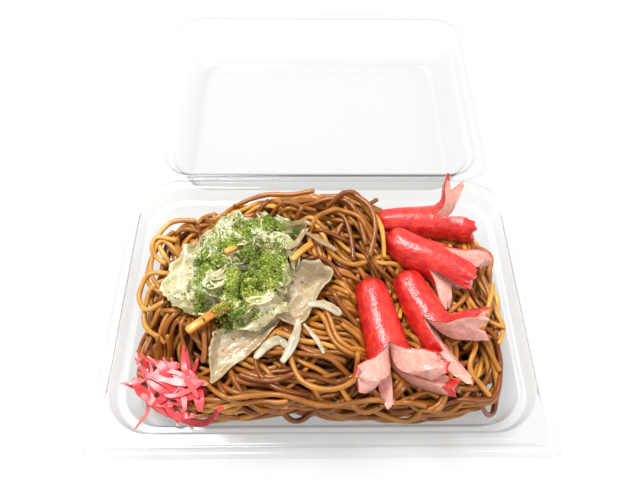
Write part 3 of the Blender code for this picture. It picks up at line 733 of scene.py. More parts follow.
class NoodleBed:
    """Lays strands over the core until they fill the heap's outline."""

    def __init__(self, surface, target, ceiling):
        self.surface = surface
        self.target = target
        self.ceiling = ceiling
        self.roof = spread_extreme(target, 3 * MM, np.maximum) + BACK_ROOM
        self.rng = np.random.default_rng(11)
        inside = target > 0
        border = inside & ~(shifted(inside, 1, 0) & shifted(inside, -1, 0)
                            & shifted(inside, 0, 1) & shifted(inside, 0, -1))
        cells = np.argwhere(np.ones_like(inside))
        rim = np.argwhere(border)
        away = np.full(len(cells), 1e9)
        for start in range(0, len(rim), 64):
            gap = np.linalg.norm(cells[:, None] - rim[None, start:start + 64], axis=2)
            away = np.minimum(away, gap.min(axis=1))
        self.depth = blurred(np.where(inside, 1, -1) * away.reshape(inside.shape) * CELL, 3)
        self.inward = np.stack(np.gradient(self.depth, CELL), -1)
        self.cosines, self.sines = line_field(surface)

    def at(self, grid, point):
        """The grid's value at one point, without arrays because it is called often."""
        i = int(round((point[0] - self.surface.low[0]) / CELL))
        j = int(round((point[1] - self.surface.low[1]) / CELL))
        i = min(max(i, 0), self.surface.size[0] - 1)
        j = min(max(j, 0), self.surface.size[1] - 1)
        return grid[i, j]

    def wander(self, start, heading, length):
        """A path that follows the lay lines, sways, and turns back at the heap's edge."""
        phases = self.rng.uniform(0, 2 * math.pi, 3)
        waves = self.rng.uniform(0.8, 1.25, 3) * SWAY_LENGTHS
        lean = self.rng.normal(0, 0.22)
        most = STEP / TIGHTEST_TURN
        place = np.array(start, dtype=float)
        path = [place.copy()]
        for k in range(int(length / STEP)):
            travelled = k * STEP
            sway = 0.0
            for strength, sway_length, phase in zip(SWAY_STRENGTHS, waves, phases):
                sway += strength * math.sin(2 * math.pi * travelled / sway_length + phase)
            lay = 0.5 * math.atan2(self.at(self.sines, place), self.at(self.cosines, place))
            off = (lay + (lean + sway) - heading + math.pi / 2) % math.pi - math.pi / 2
            turn = max(-most, min(most, STEERING * off))
            depth = self.at(self.depth, place)
            if depth < EDGE_MARGIN:
                inward = self.at(self.inward, place)
                ahead = math.cos(heading) * inward[0] + math.sin(heading) * inward[1]
                side = math.cos(heading) * inward[1] - math.sin(heading) * inward[0]
                urge = (EDGE_MARGIN - depth) / EDGE_MARGIN
                if ahead < 0.25:
                    turn = math.copysign(most * min(1.0, 0.35 + urge), side)
            heading += turn
            place = place + STEP * np.array((math.cos(heading), math.sin(heading)))
            path.append(place.copy())
        return np.array(path)

    def drape(self, path, radius):
        """Gives a path its heights: on what lies below, and under the toppings."""
        floor = self.surface.support(path, radius)
        heights = smoothed(settle(floor, 14, SAG), 3)
        heights = np.maximum(heights, floor - SINKING)
        limit = self.surface.sample(self.ceiling, path) - radius
        return np.column_stack([path, smoothed(np.minimum(heights, limit), 2)])

    def overshoot(self, line):
        """How far a strand would stand above the heap's outline, on average."""
        limit = self.surface.sample(self.target, line[:, :2])
        return np.maximum(line[:, 2] + NOODLE_RADIUS - limit, 0).mean()

    def edge_point(self, turn, inset):
        """The place at that turn round the heap's middle which lies that far inside it."""
        ahead = np.array((math.cos(turn), math.sin(turn)))
        for reach in np.arange(110 * MM, 20 * MM, -0.4 * MM):
            place = ahead * reach
            if self.at(self.depth, place) >= inset:
                return place
        return place

    def line_edges(self, bundle):
        """Strands pressed against the tray's walls, one above another all the way round."""
        rim = np.array([self.edge_point(turn, 1.5 * MM)
                        for turn in np.radians(np.arange(0, 360, 2))])
        rim = np.concatenate([rim, rim])
        for number in range(EDGE_STRANDS):
            level_height = EDGE_LOWEST + EDGE_RISE * ((number * 0.618) % 1.0)
            start = int(self.rng.integers(180))
            count = int(self.rng.integers(14, 46))
            path = smooth_path(smooth_path(rim[start:start + count]))
            tangents = unit_rows(np.gradient(path, axis=0))
            normals = np.column_stack([-tangents[:, 1], tangents[:, 0]])
            travelled = STEP * np.arange(len(path))
            phases = self.rng.uniform(0, 2 * math.pi, 3)
            loops = self.rng.uniform(5, 9) * MM
            gap, swing = EDGE_GAP
            inward = gap + swing * np.sin(travelled / loops * 0.7 + phases[0])
            ends = np.minimum(travelled, travelled[::-1])
            inward += EDGE_ENDS * np.exp(-ends / EDGE_ENDS)
            heights = level_height + EDGE_SWINGS[0] * np.sin(travelled / loops + phases[1]) \
                + EDGE_SWINGS[1] * np.sin(travelled / (4.5 * MM) + phases[2])
            path = path + normals * np.maximum(inward, 0)[:, None]
            top = self.surface.sample(self.target, path) + 1.0 * MM
            heights = np.clip(heights, NOODLE_RADIUS + 1.2 * MM, np.maximum(top, 5 * MM))
            self.strand(np.column_stack([path, heights]),
                        NOODLE_RADIUS * self.rng.uniform(0.88, 1.05), bundle)

    def fill(self, count, bundle):
        """Lays strands where the heap lacks most, each by the best of several paths."""
        room = np.where(self.depth > 2 * MM, self.target, 0)
        companion = None
        for _ in range(count):
            lack = np.maximum(room - self.surface.height - 0.6 * MM, 0) ** 1.5
            if lack.sum() == 0:
                break
            options = []
            if companion is not None and self.rng.random() < COMPANION_CHANCE:
                options += [self.beside(companion, side) for side in (-1, 1)]
            cells = self.rng.choice(lack.size, 5, p=lack.ravel() / lack.sum())
            for cell in cells:
                i, j = divmod(int(cell), self.surface.size[1])
                start = (self.surface.xs[i], self.surface.ys[j])
                length = self.rng.uniform(*STRAND_LENGTHS)
                lay = 0.5 * math.atan2(self.sines[i, j], self.cosines[i, j])
                heading = lay + math.pi * self.rng.integers(2) + self.rng.normal(0, 0.4)
                behind = length * self.rng.uniform(0.1, 0.5)
                back = self.wander(start, heading + math.pi, behind)
                ahead = self.wander(start, heading, length / 2)
                options.append(smooth_path(np.concatenate([back[:0:-1], ahead])))
            radius = NOODLE_RADIUS * self.rng.uniform(0.88, 1.1)
            lines = [self.drape(path, radius) for path in options if len(path) > 8]
            scores = [self.overshoot(line) for line in lines]
            best = lines[int(np.argmin(scores))]
            companion = best[:, :2]
            self.strand(best, radius, bundle, held=True)

    def lay_loose(self, bundle):
        """The strands that stand out, spanning from end to end above the heap."""
        for corners, rise, end_rise in LOOSE_STRANDS:
            path = spaced(open_curve(corners), STEP)
            floor = self.surface.support(path, NOODLE_RADIUS)
            share = np.linspace(0, 1, len(path))
            span = floor[0] * (1 - share) + floor[-1] * share \
                + MM * (rise * np.sin(np.pi * share) + end_rise * share ** 2)
            heights = smoothed(np.maximum(floor, span), 4)
            limit = self.surface.sample(self.ceiling, path) - NOODLE_RADIUS
            heights = smoothed(np.minimum(heights, limit), 2)
            self.strand(np.column_stack([path, heights]), NOODLE_RADIUS, bundle)

    def beside(self, path, side):
        """A path that runs along another one, now nearer and now further away."""
        tangents = unit_rows(np.gradient(path, axis=0))
        normals = np.column_stack([-tangents[:, 1], tangents[:, 0]])
        travelled = STEP * np.arange(len(path))
        phase = self.rng.uniform(0, 2 * math.pi)
        gap, swing = COMPANION_GAP
        sway = np.sin(2 * math.pi * travelled / COMPANION_WAVE + phase)
        gap = NOODLE_RADIUS * (gap + swing * sway)
        first = self.rng.integers(0, max(1, len(path) // 4))
        last = len(path) - self.rng.integers(0, max(1, len(path) // 4))
        return smooth_path((path + side * gap[:, None] * normals)[first:last])

    def strand(self, line, radius, bundle, held=False):
        """Adds a strand to the bundle; at the back, a held one keeps to the heap's outline."""
        self.surface.lay(line, radius)
        if held:
            front = np.clip((BACK_LINE - line[:, 1]) / BACK_BLEND, 0, 1)
            roof = self.surface.sample(self.roof, line[:, :2]) + FRONT_ROOM * front
            line[:, 2] = smoothed(np.minimum(line[:, 2], roof), 3)
        travelled = STEP * np.arange(len(line))
        phase = self.rng.uniform(0, 2 * math.pi)
        (long_share, long_wave), (short_share, short_wave) = RIPPLES
        radii = radius * (1 + long_share * np.sin(2 * math.pi * travelled / long_wave + phase)
                          + short_share * np.sin(2 * math.pi * travelled / short_wave
                                                 + 3 * phase))
        points, faces, grain = tube(line, radii, NOODLE_SIDES, squareness=-0.05)
        grain = grain + self.rng.uniform(0, 0.5, 3)
        outer = max(0.0, 1 - self.surface.sample(self.depth, line[:, :2]).mean() / (10 * MM))
        # painted light and shade: strands are made lighter at the back, at the sides and along the
        # edge, and darker in the front middle
        painted_light_by_place = 0.16 * line[:, 1].mean() / (45 * MM) + 0.4 * outer - 0.08 \
            + 0.2 * np.abs(line[:, 0]).mean() / (75 * MM)
        shade = float(np.clip(self.rng.normal(0.5, 0.27) + painted_light_by_place, 0, 1))
        bundle.add(points, faces, grain, shade)


def smooth_path(path):
    """Evens out a path's corners and spaces its points a step apart."""
    return spaced(smoothed(path, 2), STEP)


def catmull_rom(a, b, c, d, t):
    """Points between b and c on the curve that also passes a and d."""
    return 0.5 * (2 * b + (c - a) * t + (2 * a - 5 * b + 4 * c - d) * t * t
                  + (3 * b - a - 3 * c + d) * t ** 3)


def open_curve(corners):
    """Points on a smooth curve through corners in mm, in metres."""
    corners = np.array([corners[0], *corners, corners[-1]]) * MM
    t = np.linspace(0, 1, 12, endpoint=False)[:, None]
    parts = [catmull_rom(*four, t)
             for four in zip(corners, corners[1:], corners[2:], corners[3:])]
    return np.concatenate([*parts, corners[-1:]])


def spaced(path, step):
    """The same line with its points an equal step apart."""
    lengths = np.concatenate([[0], np.cumsum(np.linalg.norm(np.diff(path, axis=0), axis=1))])
    count = max(2, int(lengths[-1] / step) + 1)
    places = np.linspace(0, lengths[-1], count)
    return np.column_stack([np.interp(places, lengths, path[:, k]) for k in range(path.shape[1])])


def build_core(surface, target, depth):
    """The heap under the strands, as a closed grid, coloured as painted shade for the gaps."""
    top = np.where(depth > CORE_INSET, target - CORE_DEPTH, 0)
    smooth_top = blurred(spread_extreme(top, 1.6 * MM, np.minimum), 4)
    solid = smooth_top > CORE_LEAST
    surface.height = np.maximum(surface.height, np.where(solid, smooth_top, 0))
    numbers = -np.ones(surface.size, dtype=int)
    stride = CORE_STRIDE
    chosen = np.zeros_like(solid)
    chosen[::stride, ::stride] = solid[::stride, ::stride]
    count = int(chosen.sum())
    numbers[chosen] = np.arange(count)
    grid = np.argwhere(chosen)
    xs = surface.xs[grid[:, 0]]
    ys = surface.ys[grid[:, 1]]
    tops = smooth_top[grid[:, 0], grid[:, 1]]
    bottoms = np.full(count, CORE_BOTTOM)
    points = np.concatenate([np.column_stack([xs, ys, tops]),
                             np.column_stack([xs, ys, bottoms])])
    faces = []
    edges = []
    for i, j in grid:
        if i + stride >= surface.size[0] or j + stride >= surface.size[1]:
            continue
        corners = [int(numbers[i + right, j + up])
                   for right, up in ((0, 0), (stride, 0), (stride, stride), (0, stride))]
        if min(corners) < 0:
            continue
        faces.append(tuple(corners))
        faces.append(tuple(corner + count for corner in reversed(corners)))
        edges += zip(corners, corners[1:] + corners[:1])
    known = set(edges)
    for a, b in edges:
        if (b, a) not in known:
            faces.append((b, a, a + count, b + count))
    used = sorted({corner for face in faces for corner in face})
    renumber = {old: new for new, old in enumerate(used)}
    faces = [tuple(renumber[corner] for corner in face) for face in faces]
    return new_mesh("noodle_core_painted_shade", points[used], faces, core_shade_material())


def topping_ceiling(surface, wieners):
    """Lowest undersides of the wieners, leaves and ginger over each cell."""
    ceiling = np.full(surface.size, 1.0)
    shapes = [mesh_tree(piece.data) for piece in wieners]
    shapes += [node_shape(name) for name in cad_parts
               if name.startswith(("cabbage", "ginger"))]
    for tree in shapes:
        ceiling = np.minimum(ceiling, heights_over(surface, tree, -0.1, 1, 1.0))
    return ceiling


def build_noodles(wieners):
    """Fills the heap's outline with strands; returns the map of heights over them."""
    low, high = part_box("pack_base")
    surface = Surface((low.x, low.y), (high.x, high.y))
    surface.height = top_of(surface, "pack_base")
    target = top_of(surface, "noodle_heap")
    ceiling = spread_extreme(topping_ceiling(surface, wieners), NOODLE_RADIUS, np.minimum)
    bed = NoodleBed(surface, target, ceiling)
    belongs(build_core(surface, target, bed.depth), "base", "noodle_heap")
    material = noodle_material()
    for name in ("noodles_low", "noodles_top"):
        bundle = Bundle()
        if name == "noodles_low":
            bed.line_edges(bundle)
        bed.fill(STRAND_COUNT // 2, bundle)
        if name == "noodles_top":
            bed.lay_loose(bundle)
        belongs(bundle.piece(name, material), "base", "noodle_heap")
    return surface


# ---------------------------------------------------------------- the pack
def rounded_line(half_length, front, back, front_radius, back_radius):
    """Points around a rectangle whose front and back corners have their own radii."""
    corners = [
        (-half_length + front_radius, front + front_radius, front_radius, 180),
        (half_length - front_radius, front + front_radius, front_radius, 270),
        (half_length - back_radius, back - back_radius, back_radius, 0),
        (-half_length + back_radius, back - back_radius, back_radius, 90),
    ]
    points = []
    for x, y, radius, start in corners:
        for step in range(CORNER_STEPS + 1):
            angle = math.radians(start + 90 * step / CORNER_STEPS)
            points.append((x + radius * math.cos(angle), y + radius * math.sin(angle)))
    return points


def bead_share(y):
    """The tray's bead is whole in front and gone where the lid folds."""
    return min(1.0, max(0.0, 1 - (y - BEAD_FADE_START) / BEAD_FADE_LENGTH))


def pressed_sheet(name, length, front, back, lines, fades, material):
    """A tray or lid drawn through its lines, with rounded edges and an even wall."""
    points = []
    for side, near, far, height, bead, front_radius, back_radius in lines:
        for x, y in rounded_line(length / 2 - side * MM, front + near * MM, back - far * MM,
                                 front_radius * MM, back_radius * MM):
            share = bead_share(y) if fades else 1.0
            points.append((x, y, height * MM + bead * share * BEAD_HEIGHT))
    around = len(points) // len(lines)
    faces = bands(len(lines), around)
    last = (len(lines) - 1) * around
    faces.append(tuple(range(last, last + around)))
    sheet = new_mesh(name, points, faces, material)
    rounding = sheet.modifiers.new("rounding", "BEVEL")
    rounding.width = EDGE_ROUNDING
    rounding.segments = 2
    rounding.limit_method = "ANGLE"
    rounding.angle_limit = math.radians(20)
    wall = sheet.modifiers.new("wall", "SOLIDIFY")
    wall.thickness = PLASTIC
    wall.offset = -1
    return sheet


def plastic_material(name, haze, mirror):
    """Thin clear sheet: see-through head on, greyer and shinier where seen at a slant."""
    material = bpy.data.materials.new(name)
    material.use_nodes = True
    tree = material.node_tree
    tree.nodes.remove(tree.nodes["Principled BSDF"])
    output = tree.nodes["Material Output"]
    place = tree.nodes.new("ShaderNodeTexCoord").outputs["Object"]
    ripple = tree.nodes.new("ShaderNodeBump")
    ripple.inputs["Distance"].default_value = 0.4 * MM
    ripple.inputs["Strength"].default_value = 0.5
    tree.links.new(noise_of(tree, place, 45, 2), ripple.inputs["Height"])
    slant = tree.nodes.new("ShaderNodeLayerWeight")
    slant.inputs["Blend"].default_value = 0.5
    clear = tree.nodes.new("ShaderNodeBsdfTransparent")
    tint = ramp(tree, slant.outputs["Facing"], [
        (0.0, (0.985, 0.985, 0.981)), (0.35, (0.974, 0.974, 0.970)),
        (0.6, (1 - 0.07 * haze,) * 3), (0.9, (1 - 0.195 * haze,) * 3),
        (1.0, (1 - 0.41 * haze,) * 3)])
    tree.links.new(tint, clear.inputs["Color"])
    gloss = tree.nodes.new("ShaderNodeBsdfGlossy")
    gloss.inputs["Roughness"].default_value = 0.1
    tree.links.new(ripple.outputs["Normal"], gloss.inputs["Normal"])
    share = ramp(tree, slant.outputs["Facing"], [
        (0.0, (0.03,) * 3), (0.55, (0.05,) * 3), (0.8, (0.2 * mirror,) * 3),
        (1.0, (mirror,) * 3)])
    blend = tree.nodes.new("ShaderNodeMixShader")
    tree.links.new(share, blend.inputs["Fac"])
    tree.links.new(clear.outputs["BSDF"], blend.inputs[1])
    tree.links.new(gloss.outputs["BSDF"], blend.inputs[2])
    tree.links.new(blend.outputs["Shader"], output.inputs["Surface"])
    return material


def build_pack():
    """The tray and the open lid behind it."""
    tray = pressed_sheet("tray", TRAY_LENGTH, -TRAY_DEPTH / 2, TRAY_DEPTH / 2, TRAY_LINES,
                         True, plastic_material("clear_tray", *TRAY_SHEET))
    near = HINGE_Y + HINGE_GAP / 2
    lid = pressed_sheet("lid", LID_LENGTH, near, near + LID_DEPTH, LID_LINES, False,
                        plastic_material("clear_lid", *LID_SHEET))
    belongs(tray, "base", "pack_base")
    belongs(lid, "lid", "pack_lid")


# ---------------------------------------------------------------- wieners
def wiener_material():
    """Dyed red skin, wet and finely creased, over pale pink meat where it is cut."""
    material, tree, shader = principled(
        "red_wiener", IOR=1.42, Subsurface_Weight=0.12, Subsurface_Radius=(1.0, 0.25, 0.18),
        Subsurface_Scale=1.8 * MM, Coat_Weight=0.6, Coat_Roughness=0.07)
    grain = attribute(tree, "grain", "Vector")
    rind = attribute(tree, "rind")
    blotch = noise_of(tree, grain, 170, 4, 0.65)
    crease = noise_of(tree, grain, 460, 5, 0.62, (1, 1, 0.75))
    crumb = noise_of(tree, grain, 700, 4, 0.65)
    skin = ramp(tree, blotch, [(0.30, (0.38, 0.005, 0.007)), (0.48, (0.57, 0.012, 0.011)),
                               (0.64, (0.70, 0.038, 0.018)), (0.80, (0.80, 0.11, 0.038))])
    meat = ramp(tree, crumb, [(0.25, (0.60, 0.24, 0.19)), (0.6, (0.79, 0.40, 0.32))])
    ragged = combined(tree, "ADD", rind, combined(tree, "MULTIPLY", crumb, 0.35))
    edge = level(tree, ragged, 0.0, 1.0, 0.55, 0.95)
    creased = mixed(tree, level(tree, crease, -0.5, 0.5), skin, (0.80, 0.08, 0.04))
    apart = tree.nodes.new("ShaderNodeSeparateXYZ")
    tree.links.new(grain, apart.inputs["Vector"])
    tied = level(tree, apart.outputs["Z"], 0.55, 0.0, 1 * MM, 8 * MM)
    creased = mixed(tree, tied, creased, (0.40, 0.006, 0.008))
    tree.links.new(mixed(tree, edge, meat, creased), shader.inputs["Base Color"])
    rough = level(tree, edge, 0.6, 0.33)
    tree.links.new(combined(tree, "ADD", rough, level(tree, crease, -0.12, 0.16)),
                   shader.inputs["Roughness"])
    bump(tree, shader, crease, 0.7 * MM, 0.5)
    return material


def wave(*place):
    """Smooth noise from about -1 to 1."""
    return noise.noise(Vector(place))


def build_wiener(name, recipe, seed, material):
    """A wiener slit from its middle on, each leg swept along its own bent path."""
    head, slit, radius, bow, first_cut, legs = recipe
    head = np.array(head) * MM
    slit = np.array(slit) * MM
    radius = radius * MM
    length = np.linalg.norm(slit - head)
    axis = unit(slit - head)
    side = unit(np.cross(axis, (0, 0, 1)))
    up = np.cross(side, axis)
    count = WIENER_SIDES * SIDE_PARTS
    turns = np.radians(first_cut + 360 * np.arange(count) / count)
    spokes = np.outer(np.cos(turns), side) + np.outer(np.sin(turns), up)

    points, grain, rind = [], [], []

    def add(point, local, skin):
        points.append(point)
        grain.append(local)
        rind.append(skin)
        return len(points) - 1

    def skin_radius(turn, along, share):
        """The radius there: rounded and puckered at the tied end, gently uneven on."""
        local = (math.cos(turn) * radius / (7 * MM), math.sin(turn) * radius / (7 * MM))
        swell = 0.035 * wave(*local, along / (11 * MM) + seed)
        crease = 0.022 * wave(2.4 * local[0], 2.4 * local[1], along / (16 * MM) + 3 * seed)
        fold = 0.5 + 0.5 * math.cos(PUCKER_FOLDS * turn + seed)
        pucker = PUCKER * math.exp(-along / PUCKER_REACH) * fold
        return radius * share * (1 + swell + crease - pucker)

    stations = list(KNOT)
    body_steps = int(length / BODY_STEP)
    for k in range(body_steps + 1):
        along = k * length / body_steps
        rest = 1 - min(1.0, (along + 0.15 * MM) / HEAD_LENGTH)
        widening = HEAD_WIDTH + BODY_WIDENING * (along / length) ** 0.8
        stations.append((along, math.sqrt(1 - rest ** 2.4) * widening))
    rows = []
    for along, share in stations:
        way = along / length
        middle = head + axis * along + side * bow * MM * 4 * way * (1 - way)
        row = []
        for turn, spoke in zip(turns, spokes):
            reach = skin_radius(turn, max(along, 0), share)
            row.append(add(middle + spoke * reach,
                           (reach * math.cos(turn), reach * math.sin(turn), along), 1.0))
        rows.append(row)
    faces = [tuple(reversed(rows[0]))]
    for low, high in zip(rows, rows[1:]):
        for k in range(count):
            after = (k + 1) % count
            faces.append((low[k], low[after], high[after], high[k]))
    ring = rows[-1]
    centre = add(slit, (0, 0, length), 0.0)
    shared = {}

    def cut_line(index):
        """Points on the slit plane from the ring's point to the middle, made once."""
        if index not in shared:
            rim = np.array(points[ring[index]])
            rim_grain = np.array(grain[ring[index]][:2])
            shared[index] = [add(rim + (slit - rim) * k / CUT_PARTS,
                                 (*(rim_grain * (1 - k / CUT_PARTS)), length), 0.0)
                             for k in range(1, CUT_PARTS)]
        return shared[index]

    first = 0
    for number, (sides, outward, sideways, leg_length, twist, point) in enumerate(legs):
        parts = sides * SIDE_PARTS
        indices = [(first + k) % count for k in range(parts + 1)]
        turn = math.radians(first_cut + 360 * (first + parts / 2) / count)
        out = side * math.cos(turn) + up * math.sin(turn)
        across = up * math.cos(turn) - side * math.sin(turn)
        bend = math.radians(math.hypot(outward, sideways))
        lean = math.atan2(sideways, outward)
        towards = out * math.cos(lean) + across * math.sin(lean)
        leg_length *= MM
        bent = max(LEG_BEND_RADIUS * bend, LEG_BEND_SHARE * leg_length)
        half = math.pi * sides / WIENER_SIDES
        phase = seed * 7.3 + number * 3.1

        def on_path(along):
            """Place on the leg's path, and its direction turned with it."""
            angle = bend * min(1.0, along / bent)
            curve = bent / max(bend, 1e-6)
            place = slit + axis * curve * math.sin(angle) \
                + towards * curve * (1 - math.cos(angle))
            ahead = axis * math.cos(angle) + towards * math.sin(angle)
            place = place + ahead * max(0.0, along - bent)
            turned = Matrix.Rotation(angle, 3, Vector(np.cross(axis, towards)))
            roll = math.radians(twist) * min(1.0, 1.4 * along / leg_length)
            turned = Matrix.Rotation(roll, 3, Vector(ahead)) @ turned
            return place, np.array(turned @ Vector(out)), np.array(turned @ Vector(across))

        previous = [ring[k] for k in indices] + cut_line(indices[-1]) + [centre] \
            + cut_line(indices[0])[::-1]
        for section in range(1, LEG_SECTIONS + 1):
            share = section / LEG_SECTIONS
            spread = 1 - LEG_NARROWING * min(1.0, share * 3) \
                + LEG_SPREAD * max(0.0, share - LEG_SPREAD_START)
            narrowed = 1 - point * share ** 1.3
            spread *= narrowed
            taper = max(0.0, share - LEG_TIP) / (1 - LEG_TIP)
            reach = radius * (1.07 - 0.17 * share - 0.2 * taper)
            tip_skin = 1.0 if leg_length > LONG_LEG and share > SKIN_TIP else 0.0
            opened = min(1.0, bend / 1.3) * min(1.0, 2 * share)
            apex = KERF + radius * (0.12 * min(1.0, 1.6 * share) + 0.3 * taper - 0.4 * opened)
            apex = reach - (reach - apex) * narrowed
            current = []

            def leg_point(outer, beside, skin):
                angle = math.atan2(beside, max(outer, 0.3 * radius))
                jag = 0.13 * wave(2.2 * angle, phase, 0.5) + 0.07 * wave(7 * angle, phase, 5.5)
                along = leg_length * share * (1 + jag * share * share)
                place, outwards, sidewards = on_path(along)
                local = (outer * math.cos(turn) - beside * math.sin(turn),
                         outer * math.sin(turn) + beside * math.cos(turn), length + along)
                return add(place + outwards * outer + sidewards * beside, local, skin)

            for k in range(parts + 1):
                angle = half * spread * (2 * k / parts - 1)
                uneven = wave(2 * angle, share * leg_length / (7 * MM), phase)
                bumpy = reach * (1 + 0.03 * uneven)
                current.append(leg_point(bumpy * math.cos(angle), bumpy * math.sin(angle), 1.0))
            for end in (1, -1):
                flank = []
                for k in range(1, CUT_PARTS):
                    blend = k / CUT_PARTS
                    outer = reach * math.cos(half * spread) * (1 - blend) + apex * blend
                    beside = end * reach * math.sin(half * spread) * (1 - blend ** 1.3)
                    rough = 0.8 * MM * min(1.0, 4 * share) * wave(
                        3 * blend, share * leg_length / (2.6 * MM), phase + end)
                    flank.append(leg_point(outer + rough, beside, tip_skin))
                if end == 1:
                    flank.append(leg_point(apex, 0.0, tip_skin))
                else:
                    flank.reverse()
                current += flank
            for k in range(len(current)):
                after = (k + 1) % len(current)
                faces.append((previous[k], previous[after], current[after], current[k]))
            previous = current
        tip = add(np.mean([points[k] for k in previous], axis=0),
                  tuple(np.mean([grain[k] for k in previous], axis=0)), 0.0)
        for k in range(len(previous)):
            faces.append((previous[k], previous[(k + 1) % len(previous)], tip))
        first += parts
    piece = new_mesh(name + "_fine", np.array(points), faces, material,
                     {"grain": np.array(grain), "rind": np.array(rind)})
    piece.data.set_sharp_from_angle(angle=math.radians(LEG_EDGE_ANGLE))
    belongs(piece, "base", name)
    return piece


# ---------------------------------------------------------------- leaves
def closed_curve(corners, count):
    """Points on a smooth closed curve through corners in mm, in metres."""
    corners = np.array(corners) * MM
    size = len(corners)
    steps = np.arange(count) * size / count
    index = steps.astype(int)
    t = (steps - index)[:, None]
    return catmull_rom(*(corners[(index + k - 1) % size] for k in range(4)), t)


def between_cells(surface, grid, points):
    """The grid's value at each point, weighed between the four cells around it."""
    place = (points - surface.low) / CELL
    place = np.clip(place, 0, surface.size - 1.001)
    i, j = place.astype(int).T
    u, v = (place - place.astype(int)).T
    return (grid[i, j] * (1 - u) * (1 - v) + grid[i + 1, j] * u * (1 - v)
            + grid[i, j + 1] * (1 - u) * v + grid[i + 1, j + 1] * u * v)


def leaf_material(name, stops, fold_shade, alpha, veins):
    """Boiled cabbage or onion: pale, wet, a little see-through, greener where leafy, with paler
    streaks that are partly painted highlight, and painted shade in the low parts of the folds.
    """
    material, tree, shader = principled(
        name, IOR=1.4, Subsurface_Weight=0.3, Subsurface_Radius=(1.0, 0.95, 0.5),
        Subsurface_Scale=1.6 * MM, Coat_Weight=0.75, Coat_Roughness=0.12, Alpha=alpha)
    place = attribute(tree, "grain", "Vector")
    green = attribute(tree, "shade")
    fold = attribute(tree, "fold")
    patch = noise_of(tree, place, 160, 5, 0.65)
    streak = noise_of(tree, place, 340, 4, 0.6, (0.35, 1, 1))
    cells = tree.nodes.new("ShaderNodeTexVoronoi")
    cells.feature = "DISTANCE_TO_EDGE"
    cells.inputs["Scale"].default_value = 170
    sway = noise_of(tree, place, 90, 2)
    tree.links.new(mixed(tree, 0.005, place, sway), cells.inputs["Vector"])
    vein = level(tree, cells.outputs["Distance"], 1.0, 0.0, 0.0, 0.14)
    leafy = combined(tree, "ADD", green, level(tree, patch, -0.6, 0.6))
    colour = ramp(tree, leafy, stops)
    # paler streaks, partly the leaf's own colour and partly painted highlight
    streaked_and_highlit = mixed(tree, level(tree, streak, -0.6, 0.9), colour, (0.86, 0.84, 0.68))
    pale = mixed(tree, combined(tree, "MULTIPLY", vein, veins), streaked_and_highlit,
                 (0.92, 0.90, 0.72))
    # painted shade: the low parts of the folds are darkened towards the given shade colour
    tree.links.new(mixed(tree, level(tree, fold, 0.78, -0.12), pale,
                         mixed(tree, 1.0, pale, fold_shade, "MULTIPLY")),
                   shader.inputs["Base Color"])
    tree.links.new(level(tree, streak, 0.2, 0.5), shader.inputs["Roughness"])
    relief = combined(tree, "ADD", streak, combined(tree, "MULTIPLY", vein, 0.15))
    bump(tree, shader, relief, 1.2 * MM, 0.35)
    return material


def leaf_points(surface, outline, crinkle, folds, torn, seed):
    """A crinkled leaf laid on the surface, in rings: its points, faces and rises."""
    around, rings = LEAF_AROUND, LEAF_RINGS
    edge = closed_curve(outline, around)
    centre = edge.mean(axis=0)
    frill = np.array([1 + torn * (1.3 * wave(k * 0.13, seed, 0.5) + wave(k * 0.4, seed, 4.5))
                      for k in range(around)])
    edge = centre + (edge - centre) * frill[:, None]
    shares = np.concatenate([[0.0], np.repeat(np.arange(1, rings + 1) / rings, around)])
    places = np.concatenate([[centre], *[centre + (edge - centre) * ring / rings
                                         for ring in range(1, rings + 1)]])
    rest = blurred(spread_extreme(surface.height, 2.4 * MM, np.maximum), 8)
    heights = between_cells(surface, rest, places) + LEAF_THICKNESS
    angle = math.radians(folds)
    fold = []
    for k, (x, y) in enumerate(places):
        u = (x * math.cos(angle) + y * math.sin(angle)) / FOLD_LENGTH
        v = (y * math.cos(angle) - x * math.sin(angle)) / FOLD_WIDTH
        warp = 0.7 * wave(x / FOLD_WARP, y / FOLD_WARP, seed + 9.5)
        ridge = 1 - 2 * abs(wave(u + warp, v + warp, seed))
        crease = 1 - 2.4 * abs(wave(1.8 * u - warp, 1.8 * v + warp, seed + 4.5))
        share = shares[k]
        turned_up = max(0.0, share - 0.75) / 0.25
        spot = (k - 1) % around
        curl = (0.5 + 2.4 * wave(spot * 7.5 / around, seed, 2.5)) * turned_up ** 2
        rise = 0.6 * ridge ** 2 + 0.34 * crease
        # the rise also sets the painted shade of the leaf's low parts
        fold.append(rise)
        heights[k] += MM * (1.8 * crinkle * rise * (0.6 + 0.4 * share) + curl)
    heights = np.maximum(heights, between_cells(surface, rest, places) - LEAF_SINKING)
    points = np.column_stack([places, heights])
    faces = [(0, 1 + k, 1 + (k + 1) % around) for k in range(around)]
    for ring in range(rings - 1):
        start = 1 + ring * around
        for k in range(around):
            a = start + k
            b = start + (k + 1) % around
            faces.append((a, a + around, b + around, b))
    i, j = surface.nearest(places)
    np.maximum.at(surface.height, (i, j), heights + LEAF_THICKNESS / 2)
    return points, faces, np.array(fold)


def under_lid(heights):
    """Heights pressed down smoothly so that they stay under the closed lid."""
    start = TOPPING_ROOM - PRESSED
    over = np.maximum(heights - start, 0)
    return np.minimum(heights, start) + PRESSED * (1 - np.exp(-over / PRESSED))


def shred_faces():
    """Faces of a shred: its top, its underside and its rim."""
    wide = SHRED_COLUMNS
    count = SHRED_ROWS * wide
    faces = []
    for row in range(SHRED_ROWS - 1):
        for column in range(wide - 1):
            a = row * wide + column
            faces.append((a, a + wide, a + wide + 1, a + 1))
            faces.append((a + count, a + 1 + count, a + wide + 1 + count, a + wide + count))
    rim = [*range(wide), *range(2 * wide - 1, count, wide),
           *range(count - 2, count - wide - 1, -1), *range(count - 2 * wide, 0, -wide)]
    for a, b in zip(rim, rim[1:] + rim[:1]):
        faces.append((a, b, b + count, a + count))
    return faces


